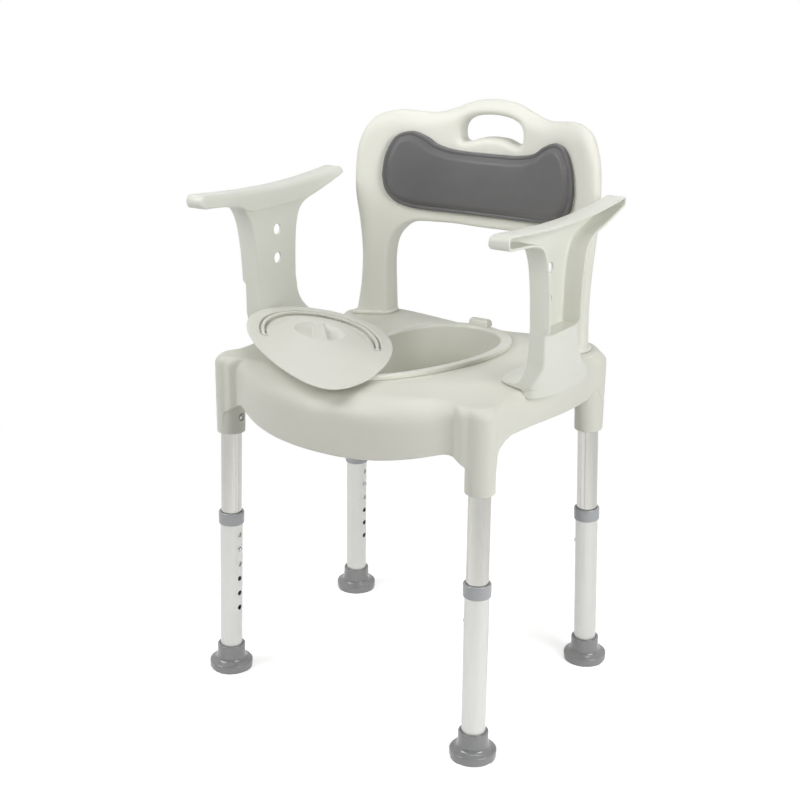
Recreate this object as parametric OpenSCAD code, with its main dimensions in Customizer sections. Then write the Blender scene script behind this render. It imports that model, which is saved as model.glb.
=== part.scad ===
// Shower commode chair: moulded seat on four telescopic legs, with a lift-out pan,
// a loose lid with a bail handle, a padded backrest and two channel-section armrests.
// Millimetres, +Z up, chair front towards -Y, floor at zero height.

/* [Seat] */
// Height of the seat's flat shoulders above the floor
seat_top = 525; // [490:1:560]
// Width of the seat across its side aprons
seat_w = 482; // [470:1:500]
// Bow of the side aprons between the columns
side_bow = 9; // [4:0.5:12]
// Reach of the front bulge ahead of the chair's mid-plane
seat_front = 236; // [226:1:250]
// Reach of the front apron beside the bulge
apron_reach = 180; // [174:1:188]
// Reach of the rear edge behind the chair's mid-plane
seat_rear = 222; // [218:1:232]
// Half width of the front bulge
bulge_half = 190; // [175:1:198]
// Corner rounding of the seat's plan
seat_corner_r = 46; // [36:1:60]
// Corner rounding of the seat's plan at the rear
rear_corner_r = 60; // [50:1:64]
// Wall of the moulding
seat_wall = 4.5; // [3.5:0.1:5.5]
// Depth of the ledge round the pan opening below the shoulders
ledge_drop = 7; // [6:0.5:9]
// Rounding of the top edge at the front
edge_front_r = 36; // [24:1:42]
// Rounding of the top edge at the sides
edge_side_r = 16; // [12:1:20]
// Rounding of the top edge at the rear
edge_rear_r = 13; // [10:1:16]
// Rounding of the top of the corner columns
edge_column_r = 16; // [12:1:20]
// Drop of the apron below the shoulders at the front centre
apron_front_drop = 92; // [80:1:100]
// Rise of the apron's lower edge from the front centre to the column
apron_front_rise = 25; // [15:1:32]
// Drop of the side apron below the shoulders
apron_side_drop = 53; // [45:1:60]
// Drop of the rear apron below the shoulders
apron_rear_drop = 55; // [45:1:62]
// Radius of the corner columns
column_r = 21.6; // [21.4:0.1:23]
// Blend between column and front or rear apron
column_blend = 46; // [30:1:54]
// Blend between column and side apron
side_blend = 14; // [8:1:20]

/* [Leg sockets] */
// Half spacing of the sockets across the chair
socket_x = 221; // [214:1:226]
// Front sockets ahead of the mid-plane
socket_front = 167; // [162:1:172]
// Rear sockets behind the mid-plane
socket_back = 163; // [158:1:168]
// Drop of the socket mouths below the shoulders
socket_drop = 123; // [115:1:130]
// Outer radius of a socket
socket_r = 20.8; // [20:0.1:22]
// Depth of the socket bore
socket_depth = 92; // [80:1:98]
// Screw height above the socket mouth
screw_rise = 26; // [20:1:34]

/* [Legs] */
// Sideways splay of the front legs, degrees
splay_front_x = 1.0; // [0:0.1:2.5]
// Forward splay of the front legs, degrees
splay_front_y = 1.28; // [0:0.1:2.5]
// Sideways splay of the rear legs, degrees
splay_rear_x = 1.55; // [0:0.1:2.5]
// Backward splay of the rear legs, degrees
splay_rear_y = 1.85; // [0:0.1:2.5]
// Outer diameter of the upper tube
upper_d = 32; // [30:0.5:32]
// Wall of the upper tube
upper_wall = 1.5; // [1.2:0.1:2]
// Height of the upper tube's lower end
upper_end = 170; // [150:1:180]
// Wall of the lower tube
lower_wall = 1.4; // [1.2:0.1:1.8]
// Height of the lower tube's top
lower_top = 268; // [258:1:280]
// Height of the lowest adjusting hole
hole_first = 108; // [100:1:115]
// Step between adjusting holes
hole_step = 25; // [22:0.5:27]
// Number of adjusting holes
hole_count = 6; // [6:1:6]
// Hole in which the button sits, counted from the lowest
hole_used = 5; // [5:1:5]
// Diameter of the button
button_d = 8; // [6:0.1:9]
// Button standing out of the lower tube
button_out = 3.6; // [2:0.1:4.5]
// Outer diameter of the guide collar
collar_d = 40; // [39:0.1:42]
// Height of the guide collar
collar_h = 20; // [16:1:24]
// Base diameter of the ferrule
ferrule_d = 68; // [60:1:72]
// Neck diameter of the ferrule
ferrule_neck_d = 44; // [42:0.5:48]
// Height of the ferrule
ferrule_h = 41; // [36:1:48]
// Thickness of the ferrule's sole
ferrule_sole = 9; // [6:1:12]

/* [Pan] */
// Half length of the pan rim
pan_half_len = 178; // [172:1:180]
// Half width measure of the pan rim's egg
pan_half_w = 102; // [96:1:106]
// Centre of the pan behind the mid-plane
pan_y = 27; // [24:1:29]
// How much the egg narrows to the front
egg_taper = 0.3; // [0.2:0.01:0.35]
// Width of the pan's rim
rim_w = 13.5; // [11:0.5:16]
// Depth of the bowl
pan_depth = 112; // [90:1:125]
// Wall of the pan
pan_wall = 3; // [2.5:0.1:4]
// Width of the rear grip
grip_w = 46; // [36:1:56]
// Height of the rear grip above the shoulders
grip_up = 9; // [6:0.5:14]
// Depth of the rear grip from the rim's inner edge
grip_out = 18; // [14:1:22]

/* [Lid] */
// Half length of the lid
lid_half_len = 170; // [167:1:176]
// Half width measure of the lid's egg
lid_half_w = 106; // [102:1:109]
// How much the lid's egg narrows to its front
lid_taper = 0.33; // [0.25:0.01:0.36]
// Depth of the lid's skirt
lid_h = 6; // [5.5:0.1:7]
// Thickness of the lid's plate and skirt
lid_wall = 3; // [2.5:0.1:3.5]
// Diameter of the finger recess
recess_d = 78; // [60:1:84]
// Depth of the finger recess
recess_deep = 8; // [6:0.5:8.5]
// Centre of the finger recess along the lid
recess_y = 62; // [56:1:64]
// Width of the bail strip
bail_w = 4.5; // [4:0.1:5.5]
// Height of the bail strip
bail_h = 4; // [3.6:0.1:4.3]
// Bail centre line inside the lid's edge
bail_inset = 23; // [21:0.5:25]
// Pivot of the bail along the lid
bail_y = 17; // [12:0.5:22]

/* [Backrest] */
// Half width of the backrest
back_half_w = 219; // [214:1:224]
// Height of the backrest above the shoulders
back_h = 360; // [330:1:380]
// Front face behind the mid-plane, on the centre line
back_y = 217; // [214:1:222]
// Bend radius of the backrest in plan
back_bend_r = 328; // [310:2:360]
// Thickness of the backrest
back_t = 34; // [30:1:37]
// Rounding of the backrest's edges
back_edge_r = 15; // [9:0.5:16]
// Forward lean of the posts at their feet
post_lean = 11; // [6:0.5:14]
// Extra thickness of the posts at their feet
post_extra = 6; // [2:0.5:8]
// Half width of the hand slot
slot_half_w = 57; // [46:1:62]
// Half width of the pad
pad_half_w = 172; // [160:1:176]
// Thickness of the pad at its crown
pad_t = 19; // [14:0.5:22]
// Length of the post plugs in the seat
plug_len = 26; // [20:1:28]

/* [Armrests] */
// Height of the arm's top above the shoulders, at the front
arm_h = 231; // [210:1:250]
// Reach of the arm ahead of the mid-plane
arm_reach = 191; // [180:1:200]
// Inner face of the armrest from the centre line
arm_x = 237; // [232:1:238.5]
// Width of the armrest's channel
arm_w = 32; // [28:0.5:34]
// Wall of the armrest's channel
arm_wall = 3.6; // [3:0.1:4.5]
// Height of the closed foot above the shoulders
foot_h = 82; // [70:1:90]
// Inner toe of the foot from the centre line
foot_toe_x = 177; // [172:1:184]
// Drop of the foot's lip below the shoulders, outside the apron
foot_lap = 19; // [15:0.5:22]
// Diameter of the holes in the web
web_hole_d = 17; // [12:0.5:18]
// Spacing of the holes in the web
web_hole_step = 45; // [38:1:50]
// Upper hole above the shoulders
web_hole_up = 165.5; // [155:0.5:172]
// Holes ahead of the mid-plane
web_hole_y = 27; // [20:0.5:32]

/* [Hidden] */
$fn = 64;

// overrun of cuts, clearance between parts that seat on each other, and sliding clearances
over = 2;
seat_gap = 0.4;
slide_gap = 0.1;
button_gap = 0.2;
pivot_gap = 0.06;
pan_gap = 1.5;
lid_gap = 0.5;
plug_gap = 0.35;

// colours
plastic = [0.87, 0.87, 0.84];
plastic_light = [0.89, 0.89, 0.87];
pad_grey = [0.31, 0.31, 0.32];
rubber_grey = [0.48, 0.49, 0.50];
alloy = [0.74, 0.75, 0.76];
alloy_pale = [0.86, 0.87, 0.88];
steel = [0.70, 0.70, 0.72];

// plain helpers
function lerp(a, b, u) = a + (b - a) * u;
function clamp01(u) = min(max(u, 0), 1);
function smooth(u) = let (c = clamp01(u)) c * c * (3 - 2 * c);
function sgn(v) = v < 0 ? -1 : 1;
function reversed(p) = [for (i = [len(p) - 1 : -1 : 0]) p[i]];
function at_or_end(t, i) = t[min(max(i, 0), len(t) - 1)];

// Catmull-Rom curve through a table of points, u from 0 to 1
function curve_mix(a, b, c, d, u) =
  0.5 * ((2 * b) + (c - a) * u + (2 * a - 5 * b + 4 * c - d) * u * u + (3 * b - a - 3 * c + d) * u * u * u);
function curve_at(t, u) =
  let (v = clamp01(u) * (len(t) - 1), i = min(floor(v), len(t) - 2))
  curve_mix(at_or_end(t, i - 1), t[i], t[i + 1], at_or_end(t, i + 2), v - i);

// closed outline moved inwards by d along its own normals (counter-clockwise points)
function inset(p, d) = [
  for (i = [0 : len(p) - 1])
    let (
      a = p[(i + len(p) - 1) % len(p)],
      b = p[(i + 1) % len(p)],
      t = b - a,
      l = norm(t)
    )
    p[i] + d * [-t[1], t[0]] / l
];

// the same without the points that come too near another part of the outline
keep_share = 0.97;
function inset_clean(p, d) = [for (q = inset(p, d)) if (min([for (c = p) norm(q - c)]) > keep_share * d) q];

function mean(p) = [for (k = [0 : 2]) let (c = [for (q = p) q[k]]) c * [for (q = p) 1] / len(p)];

// skin over a row of closed rings; the row is closed on itself or has fanned end caps
module skin(rings, wrap = false) {
  n = len(rings);
  m = len(rings[0]);
  pts = [for (r = rings) each r];
  ends = wrap ? [] : [mean(rings[0]), mean(rings[n - 1])];
  last = wrap ? n - 1 : n - 2;
  sides = [
    for (i = [0 : last])
      for (j = [0 : m - 1])
        let (
          a = i * m + j,
          b = i * m + (j + 1) % m,
          c = ((i + 1) % n) * m + (j + 1) % m,
          d = ((i + 1) % n) * m + j
        )
        each [[a, b, c], [a, c, d]]
  ];
  caps = wrap ? [] : [
    for (j = [0 : m - 1])
      each [
        [n * m, (j + 1) % m, j],
        [n * m + 1, (n - 1) * m + j, (n - 1) * m + (j + 1) % m]
      ]
  ];
  polyhedron(concat(pts, ends), concat(sides, caps));
}

// egg shaped outline, narrow end forwards; d moves it inwards
function egg_x(t, b, d, k) = (b - d) * sin(t) * (1 - k * cos(t));
function egg(t, a, b, d, k) = [egg_x(t, b, d, k), -(a - d) * cos(t)];
egg_steps = 72;
function egg_ring(a, b, d, k) = [for (i = [0 : egg_steps - 1]) egg(360 * i / egg_steps, a, b, d, k)];

module in_frame() {
  translate([0, frame_y, 0]) children();
}

// seat outline
seat_half = seat_w / 2;
loft_y = 15;
bulge_power = 3;
front_bulge = seat_front - apron_reach;
function bulge(x) = front_bulge * (1 - pow(min(abs(x) / bulge_half, 1), bulge_power));
function column_of(p) = [socket_x * sgn(p[0]), p[1] < 0 ? -socket_front : socket_back];
function d_box(p, cy, hx, hy, r) =
  let (dx = abs(p[0]) - hx + r, dy = abs(p[1] - cy) - hy + r)
  norm([max(dx, 0), max(dy, 0)]) + min(max(dx, dy), 0) - r;
function bow(y) = side_bow * (1 - pow(min(abs(y) / socket_front, 1), 2));
function d_body(p) =
  let (q = [max(abs(p[0]) - bow(p[1]), 0), p[1] + (p[1] < 0 ? bulge(p[0]) : 0)])
  d_box(q, (seat_rear - apron_reach) / 2, seat_half - side_bow, (seat_rear + apron_reach) / 2,
    p[1] < 0 ? seat_corner_r : rear_corner_r);
function d_column(p) = norm(p - column_of(p)) - column_r;
function blend_at(p) = lerp(side_blend, column_blend, smooth((socket_x - abs(p[0])) / column_r));
function d_union(a, b, k) = let (h = max(k - abs(a - b), 0)) min(a, b) - h * h / (4 * k);
function d_seat(p) = d_union(d_body(p), d_column(p), blend_at(p));
function ray_point(f, r) = [r * cos(f), loft_y + r * sin(f)];
function d_open(p) =
  let (c = (pan_y - p[1]) / (pan_half_len - rim_w))
  abs(c) >= 1 ? 1 : abs(p[0]) - egg_x(acos(c), pan_half_w, rim_w, egg_taper);
halvings = 26;
function root_seat(f, lo, hi, n) =
  n == 0 ? (lo + hi) / 2 :
  let (m = (lo + hi) / 2) d_seat(ray_point(f, m)) < 0 ? root_seat(f, m, hi, n - 1) : root_seat(f, lo, m, n - 1);
function root_open(f, lo, hi, n) =
  n == 0 ? (lo + hi) / 2 :
  let (m = (lo + hi) / 2) d_open(ray_point(f, m)) < 0 ? root_open(f, m, hi, n - 1) : root_open(f, lo, m, n - 1);
seat_span = 2 * (seat_front + seat_rear);

// directions round the seat, close together at the columns
front_dir = atan2(-socket_front - loft_y, socket_x);
rear_dir = atan2(socket_back - loft_y, socket_x);
column_arc = 9;
function spread(a, b, n) = [for (i = [0 : n - 1]) lerp(a, b, i / n)];
seat_dirs = concat(
  spread(front_dir - column_arc, front_dir + column_arc, 18),
  spread(front_dir + column_arc, rear_dir - column_arc, 14),
  spread(rear_dir - column_arc, rear_dir + column_arc, 16),
  spread(rear_dir + column_arc, 180 - rear_dir - column_arc, 18),
  spread(180 - rear_dir - column_arc, 180 - rear_dir + column_arc, 16),
  spread(180 - rear_dir + column_arc, 180 - front_dir - column_arc, 14),
  spread(180 - front_dir - column_arc, 180 - front_dir + column_arc, 18),
  spread(180 - front_dir + column_arc, 360 + front_dir - column_arc, 22)
);

// apron and edge heights at a point of the outline
socket_z = seat_top - socket_drop;
arch_start = 17;
arch_rear_start = 8;
arch_front_run = 45;
arch_side_run = 60;
lip_rise = 36;
lip_run = 5;
notch_rise = 70;
notch_run = 22;
notch_far = 24;
notch_back = 16;
side_fall = 11;
side_fall_from = -100;
side_fall_run = 210;
edge_run = 50;
dip_half = 170;
side_zone_share = 1;
function is_side(p) = abs(p[0]) > socket_x * side_zone_share;
function apron_drop(p) =
  is_side(p) ? apron_side_drop + side_fall * smooth((p[1] - side_fall_from) / side_fall_run) :
  p[1] < 0 ? apron_front_drop - apron_front_rise * pow(p[0] / bulge_half, 2) : apron_rear_drop;
function quarter(u) = sqrt(1 - pow(1 - clamp01(u), 2));
function column_tip(p) = let (c = column_of(p)) c + column_r * sqrt(0.5) * [sgn(c[0]), sgn(c[1])];
function apron_low(p) =
  let (
    s = norm(p - column_tip(p)) - (p[1] > 0 ? arch_rear_start : arch_start),
    h = socket_drop - apron_drop(p),
    lip = lip_rise * quarter(s / lip_run),
    notch = (notch_rise - lip_rise) * smooth(s / notch_run),
    beyond = (h - notch_rise) * smooth((s - notch_far) / notch_back)
  )
  socket_z + (
    p[1] > 0 ? lip + notch + beyond :
    is_side(p) ? h * quarter(s / arch_side_run) :
    lip + (h - lip_rise) * smooth(s / arch_front_run)
  );
function edge_r(p) =
  let (t = is_side(p) ? edge_side_r : p[1] < 0 ? edge_front_r : edge_rear_r)
  lerp(edge_column_r, t, smooth((norm(p - column_of(p)) - column_r) / edge_run));
function shoulder(p) = seat_top - ledge_drop * (1 - smooth(abs(p[0]) / dip_half));
ledge_z = seat_top - ledge_drop;
opening_wall = 26;
lip_r = 2;
ledge_over = 3;
dish_shares = [0.12, 0.3, 0.5];
round_steps = 8;

function seat_loop(f) =
  let (
    ro = root_open(f, 0, seat_span, halvings),
    rt = root_seat(f, 0, seat_span, halvings),
    p = ray_point(f, rt),
    er = edge_r(p),
    ei = er - seat_wall,
    zt = shoulder(p),
    zb = apron_low(p),
    r0 = ro + rim_w + ledge_over,
    r1 = rt - er,
    rz = concat(
      [[ro, ledge_z - opening_wall], [ro, ledge_z - lip_r], [ro + lip_r, ledge_z], [r0, ledge_z]],
      [for (s = dish_shares) [lerp(r0, r1, s), lerp(ledge_z, zt, smooth(2 * s))]],
      [for (i = [0 : round_steps]) let (a = 90 * i / round_steps) [r1 + er * sin(a), zt - er + er * cos(a)]],
      [[rt, zb], [rt - seat_wall, zb]],
      [for (i = [2 : -1 : 0]) let (a = 45 * i) [r1 + ei * sin(a), zt - er + ei * cos(a)]],
      [[r0, ledge_z - seat_wall], [ro + seat_wall, ledge_z - seat_wall]],
      [[ro + seat_wall, ledge_z - opening_wall]]
    )
  )
  [for (q = rz) let (w = ray_point(f, q[0])) [w[0], w[1], q[1]]];

// legs: each is drawn upright on its own axis, holes facing -X, and set in place as the right hand leg
function leg_foot(rear) =
  let (sx = rear ? splay_rear_x : splay_front_x, sy = rear ? splay_rear_y : splay_front_y)
  [
    socket_x + socket_z * tan(sx),
    rear ? socket_back + socket_z * tan(sy) : -socket_front - socket_z * tan(sy),
    0
  ];
function leg_run(rear) =
  [socket_x, rear ? socket_back : -socket_front, socket_z] - leg_foot(rear);
module on_leg(left, rear) {
  v = leg_run(rear) / norm(leg_run(rear));
  mirror([left ? 1 : 0, 0, 0])
    translate(leg_foot(rear))
      rotate([-asin(v[1]), asin(v[0] / sqrt(1 - v[1] * v[1])), 0])
        children();
}
module each_leg() {
  for (left = [false, true])
    for (rear = [false, true])
      on_leg(left, rear) children();
}

upper_r = upper_d / 2;
bore_r = upper_r + slide_gap;
lower_r = bore_r + lower_wall;
button_r = button_d / 2;
button_z = hole_first + (hole_used - 1) * hole_step;
screw_z = socket_z + screw_rise;
screw_r = 2.4;
screw_head_r = 4.6;
screw_head_h = 2.6;
screw_sink = 2.4;
screw_seat_r = 6.4;
leg_top = socket_z + socket_depth;

// a bar across the leg at height z, from the axis outwards to radius r1
module leg_bar(z, r, r0, r1) {
  translate([-r1, 0, z]) rotate([0, 90, 0]) cylinder(r = r, h = r1 - r0);
}

// seat
plug_w = 20;
plug_d = 13;
plug_boss = 3;
plug_x_share = 0.858;
plug_y_share = 0.62;
post_x = back_half_w * plug_x_share;
post_plug_y = back_front(post_x) - post_lean + (back_t + post_extra) * plug_y_share;
foot_plug_x = 203;
foot_plug_y = -8;
foot_plug_w = 18;
foot_plug_d = 54;
foot_plug_len = 20;
rib_t = 2.6;
rib_drop = 24;

module plug_box(x, y, w, d, l, grow) {
  translate([x - w / 2 - grow, y - d / 2 - grow, seat_top - l - grow])
    cube([w + 2 * grow, d + 2 * grow, l + grow]);
}
module seat_plugs(grow) {
  for (s = [-1, 1]) {
    plug_box(s * post_x, post_plug_y, plug_w, plug_d, plug_len, grow);
    plug_box(s * foot_plug_x, foot_plug_y, foot_plug_w, foot_plug_d, foot_plug_len, grow);
  }
}
// ribs under the shoulders, from the opening's wall to the columns and the side aprons
module seat_rib(f, r0, r1) {
  translate([0, loft_y, ledge_z - rib_drop])
    rotate([0, 0, f])
      translate([r0, -rib_t / 2, 0])
        cube([r1 - r0, rib_t, rib_drop - seat_wall / 2]);
}
rib_dirs = [front_dir, rear_dir, 180 - rear_dir, 180 - front_dir, -90, 90, -12, 192];
function rib_end(f) =
  let (rt = root_seat(f, 0, seat_span, halvings), p = ray_point(f, rt))
  rt - max(edge_r(p) + seat_wall, norm(p - column_of(p)) < 2 * column_r ? 2 * column_r : 0);
module seat() {
  color(plastic)
    in_frame()
      difference() {
        union() {
          skin([for (f = reversed(seat_dirs)) seat_loop(f)], true);
          each_leg()
            translate([0, 0, socket_z]) cylinder(r = socket_r, h = socket_depth + seat_wall);
          intersection() {
            seat_plugs(plug_boss);
            translate([-seat_half, -seat_front, 0])
              cube([seat_w, seat_front + seat_rear, ledge_z - seat_wall / 2]);
          }
          for (f = rib_dirs)
            seat_rib(
              f,
              root_open(f, 0, seat_span, halvings) + seat_wall / 2,
              rib_end(f)
            );
        }
        each_leg() {
          translate([0, 0, socket_z - over]) cylinder(r = bore_r, h = socket_depth + over);
          leg_bar(screw_z, screw_r + slide_gap, 0, socket_r + over);
          leg_bar(screw_z, screw_seat_r, socket_r - screw_sink, socket_r + column_r);
        }
        for (s = [-1, 1]) {
          plug_box(s * post_x, post_plug_y, plug_w, plug_d, plug_len + over, plug_gap);
          plug_box(s * foot_plug_x, foot_plug_y, foot_plug_w, foot_plug_d, foot_plug_len + over, plug_gap);
        }
      }
}

// upper tube with the button's hole and the screw's hole
module upper_tube(left, rear) {
  color(alloy)
    in_frame()
      on_leg(left, rear)
        difference() {
          translate([0, 0, upper_end]) cylinder(r = upper_r, h = leg_top - slide_gap - upper_end);
          translate([0, 0, upper_end - over]) cylinder(r = upper_r - upper_wall, h = leg_top - upper_end + 2 * over);
          leg_bar(button_z, button_r + button_gap, 0, upper_r + over);
          leg_bar(screw_z, screw_r + slide_gap, 0, upper_r + over);
        }
}

// round-headed screw that holds the tube in the socket
screw_bite = 4;
screw_end = upper_r - upper_wall - screw_bite;
slot_w = 1.2;
module socket_screw(left, rear) {
  head_at = socket_r - screw_sink + slide_gap;
  color(steel)
    in_frame()
      on_leg(left, rear)
        difference() {
          union() {
            leg_bar(screw_z, screw_r, screw_end, head_at + screw_head_h / 2);
            translate([-head_at, 0, screw_z])
              rotate([0, -90, 0])
                intersection() {
                  cylinder(r = screw_head_r, h = screw_head_h);
                  translate([0, 0, screw_head_h - 2 * screw_head_r]) sphere(r = 2 * screw_head_r);
                }
          }
          for (a = [0, 90])
            translate([-head_at - screw_head_h / 2, 0, screw_z])
              rotate([a, 0, 0])
                translate([-screw_head_h, -screw_r, -slot_w / 2])
                  cube([screw_head_h, 2 * screw_r, slot_w]);
        }
}

// leaf spring bent to a V inside the upper tube, with the button riveted to its outer leaf
leaf_t = 0.9;
leaf_w = 9;
leaf_len = 42;
leaf_bend_r = 4;
leaf_up = 12;
crown_share = 1.25;
leaf_x = sqrt(pow(upper_r - upper_wall, 2) - pow(leaf_w / 2, 2)) - 2 * button_gap;
leaf_low = leaf_up + leaf_bend_r - leaf_len;
leaf_lean = atan((leaf_x - leaf_bend_r) / (leaf_up - leaf_low));
leaf_at_button = leaf_x - leaf_up * tan(leaf_lean) - leaf_t;
module leaf_profile() {
  difference() {
    circle(r = leaf_bend_r);
    circle(r = leaf_bend_r - leaf_t);
    translate([-2 * leaf_bend_r, 0]) square([4 * leaf_bend_r, 2 * leaf_bend_r]);
  }
  for (s = [0, 1])
    mirror([s, 0])
      translate([-leaf_bend_r, 0])
        rotate(leaf_lean)
          translate([0, -leaf_t])
            square([leaf_t, (leaf_up - leaf_low) / cos(leaf_lean)]);
}
module clip(left, rear) {
  color(steel)
    in_frame()
      on_leg(left, rear) {
        translate([0, leaf_w / 2, button_z + leaf_low])
          rotate([90, 0, 0])
            linear_extrude(leaf_w) leaf_profile();
        leg_bar(button_z, button_r, leaf_at_button, lower_r + button_out - button_r / 2);
        intersection() {
          leg_bar(button_z, button_r, lower_r, lower_r + button_out);
          translate([-lower_r - button_out + crown_share * button_r, 0, button_z])
            sphere(r = crown_share * button_r);
        }
      }
}

// lower tube with its row of holes
module lower_tube(left, rear) {
  color(alloy_pale)
    in_frame()
      on_leg(left, rear)
        difference() {
          translate([0, 0, ferrule_sole + seat_gap]) cylinder(r = lower_r, h = lower_top - ferrule_sole - seat_gap);
          cylinder(r = bore_r, h = lower_top + over);
          for (i = [0 : hole_count - 1])
            leg_bar(hole_first + i * hole_step, button_r + button_gap, 0, lower_r + over);
        }
}

// collar over the lower tube's top end
collar_lip = 2;
collar_edge = 1.5;
module collar(left, rear) {
  r = collar_d / 2;
  z1 = lower_top + slide_gap + collar_lip;
  z0 = z1 - collar_h;
  color(rubber_grey)
    in_frame()
      on_leg(left, rear)
        rotate_extrude()
          polygon([
            [lower_r + slide_gap, z0], [r - collar_edge, z0], [r, z0 + collar_edge],
            [r, z1 - collar_edge], [r - collar_edge, z1], [upper_r + 3 * slide_gap, z1],
            [upper_r + 3 * slide_gap, z1 - collar_lip], [lower_r + slide_gap, z1 - collar_lip]
          ]);
}

// rubber foot, flat on the floor, with a rounded shoulder and a straight neck
ferrule_foot_h = 13;
ferrule_under = 4;
sole_edge = 3;
shoulder_share = 0.42;
shoulder_steps = 8;
module ferrule(left, rear) {
  r = ferrule_d / 2;
  rn = ferrule_neck_d / 2;
  color(rubber_grey)
    in_frame()
      intersection() {
        on_leg(left, rear)
          rotate_extrude()
            polygon(concat(
              [[0, -ferrule_under], [r - sole_edge - ferrule_under, -ferrule_under], [r, sole_edge], [r, ferrule_foot_h]],
              [
                for (i = [1 : shoulder_steps])
                  let (a = 90 * i / shoulder_steps)
                  [
                    rn + (r - rn) * cos(a),
                    ferrule_foot_h + (ferrule_h - ferrule_foot_h) * shoulder_share * sin(a)
                  ]
              ],
              [
                [rn, ferrule_h - collar_edge], [rn - collar_edge, ferrule_h], [lower_r + slide_gap, ferrule_h],
                [lower_r + slide_gap, ferrule_sole], [0, ferrule_sole]
              ]
            ));
        mirror([left ? 1 : 0, 0, 0])
          translate([leg_foot(rear)[0] - ferrule_d, leg_foot(rear)[1] - ferrule_d, 0])
            cube([2 * ferrule_d, 2 * ferrule_d, 2 * ferrule_h]);
      }
}

// pan: egg shaped bowl hung by its rim, with a grip at the back
rim_top = seat_top;
rim_low = ledge_z + seat_gap;
rim_round = 2.4;
bowl_draft = 9;
bowl_r = 26;
bowl_flat = 22;
round_share = 0.293;
mid_shares = [0.3, 0.35];
function pan_sections() =
  let (
    o = rim_w + pan_gap,
    i = o + pan_wall,
    zb = rim_top - pan_depth,
    br = bowl_r,
    zm = rim_top - pan_depth * mid_shares[1]
  )
  [
    [i + bowl_draft + br + bowl_flat, zb + pan_wall],
    [i + bowl_draft + br, zb + pan_wall],
    [i + bowl_draft + br * round_share, zb + pan_wall + br * round_share],
    [i + bowl_draft, zb + pan_wall + br],
    [i + bowl_draft * mid_shares[0], zm],
    [i, rim_top - 3 * rim_round],
    [i - rim_round * (1 - round_share), rim_top - rim_round * (1 - round_share)],
    [i - 2 * rim_round, rim_top],
    [rim_round, rim_top],
    [rim_round * round_share, rim_top - rim_round * round_share],
    [0, rim_top - rim_round],
    [0, rim_low],
    [pan_wall, rim_low],
    [o, rim_low],
    [o + bowl_draft * mid_shares[0], zm],
    [o + bowl_draft, zb + br],
    [o + bowl_draft + br * round_share, zb + br * round_share],
    [o + bowl_draft + br, zb],
    [o + bowl_draft + br + bowl_flat, zb]
  ];
function lift(p, z) = [for (q = p) [q[0], q[1], z]];
grip_edge = 3;
grip_root = 1;
module pan() {
  ye = pan_y + pan_half_len - rim_w;
  y1 = ye + grip_out;
  z0 = rim_top - grip_root;
  z1 = seat_top + grip_up;
  color(plastic_light)
    in_frame() {
      translate([0, pan_y, 0])
        skin([for (s = pan_sections()) lift(egg_ring(pan_half_len, pan_half_w, s[0], egg_taper), s[1])]);
      translate([-grip_w / 2, 0, 0])
        rotate([90, 0, 90])
          linear_extrude(grip_w)
            polygon([
              [ye, z0], [y1 - grip_edge, z0], [y1, z0 + grip_edge], [y1, z1 - grip_edge],
              [y1 - grip_edge, z1], [ye + grip_edge, z1], [ye, z1 - grip_edge]
            ]);
    }
}

// lid: drawn flat with its top at zero height, then laid across the pan's rim and an armrest's foot
lid_turn = 40.14;
lid_lean = 9.97;
lid_pitch = -2.51;
lid_x = -86.1;
lid_y = -114.8;
lid_up = 23;
slot_side = 2.6;
trough_wall = 2.4;
bail_from = 92;
bail_steps = 40;
pin_r = 1.5;
function lid_reach(q, z) =
  let (x = q[0] * cos(lid_turn) - q[1] * sin(lid_turn), y = q[0] * sin(lid_turn) + q[1] * cos(lid_turn))
  lid_y + y * cos(lid_pitch) - (z * cos(lid_lean) - x * sin(lid_lean)) * sin(lid_pitch);
lid_front = -min([
  for (q = egg_ring(lid_half_len, lid_half_w, 0, lid_taper)) for (z = [0, -lid_wall]) lid_reach(q, z)
]);
// the part is centred fore and aft on its own box, from the lid's front end or the seat's to the backrest
back_rear = back_y + back_t;
frame_y = (max(seat_front, lid_front) - back_rear) / 2;
module lid_place() {
  in_frame()
    translate([lid_x, lid_y, seat_top + lid_up])
      rotate([lid_pitch, 0, 0])
        rotate([0, lid_lean, 0])
          rotate([0, 0, lid_turn])
            children();
}
function band(t0, t1, d0, d1) = concat(
  [for (i = [0 : bail_steps]) egg(lerp(t0, t1, i / bail_steps), lid_half_len, lid_half_w, d0, lid_taper)],
  [for (i = [bail_steps : -1 : 0]) egg(lerp(t0, t1, i / bail_steps), lid_half_len, lid_half_w, d1, lid_taper)]
);
bail_t0 = acos(-bail_y / (lid_half_len - bail_inset));
slot_end = 3;
slot_t0 = bail_t0 - slot_end;
bail_x = egg_x(bail_t0, lid_half_w, bail_inset, lid_taper);
bail_z = -bail_h / 2;
notch_w = 34;
notch_d = 4;
// the trough widens inwards between the bail's ends
trough_run = 15;
trough_from = 9;
trough_rise = 26;
function trough_in(t) =
  trough_run * smooth((t - slot_t0 - trough_from) / trough_rise) * smooth((360 - slot_t0 - trough_from - t) / trough_rise);
notch_y = lid_half_len - bail_inset - bail_w / 2 - slot_side - trough_run - notch_d;
pin_wall = 1;
pin_len = bail_w + 2 * slot_side + 2 * trough_wall - 2 * pin_wall;
module slot_shape(grow) {
  t0 = slot_t0 - grow / 2;
  t1 = 360 - t0;
  polygon(concat(
    [for (i = [0 : bail_steps]) let (t = lerp(t0, t1, i / bail_steps))
      egg(t, lid_half_len, lid_half_w, bail_inset - bail_w / 2 - slot_side - grow, lid_taper)],
    [for (i = [bail_steps : -1 : 0]) let (t = lerp(t0, t1, i / bail_steps))
      egg(t, lid_half_len, lid_half_w, bail_inset + bail_w / 2 + slot_side + trough_in(t) + grow, lid_taper)]
  ));
}
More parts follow.
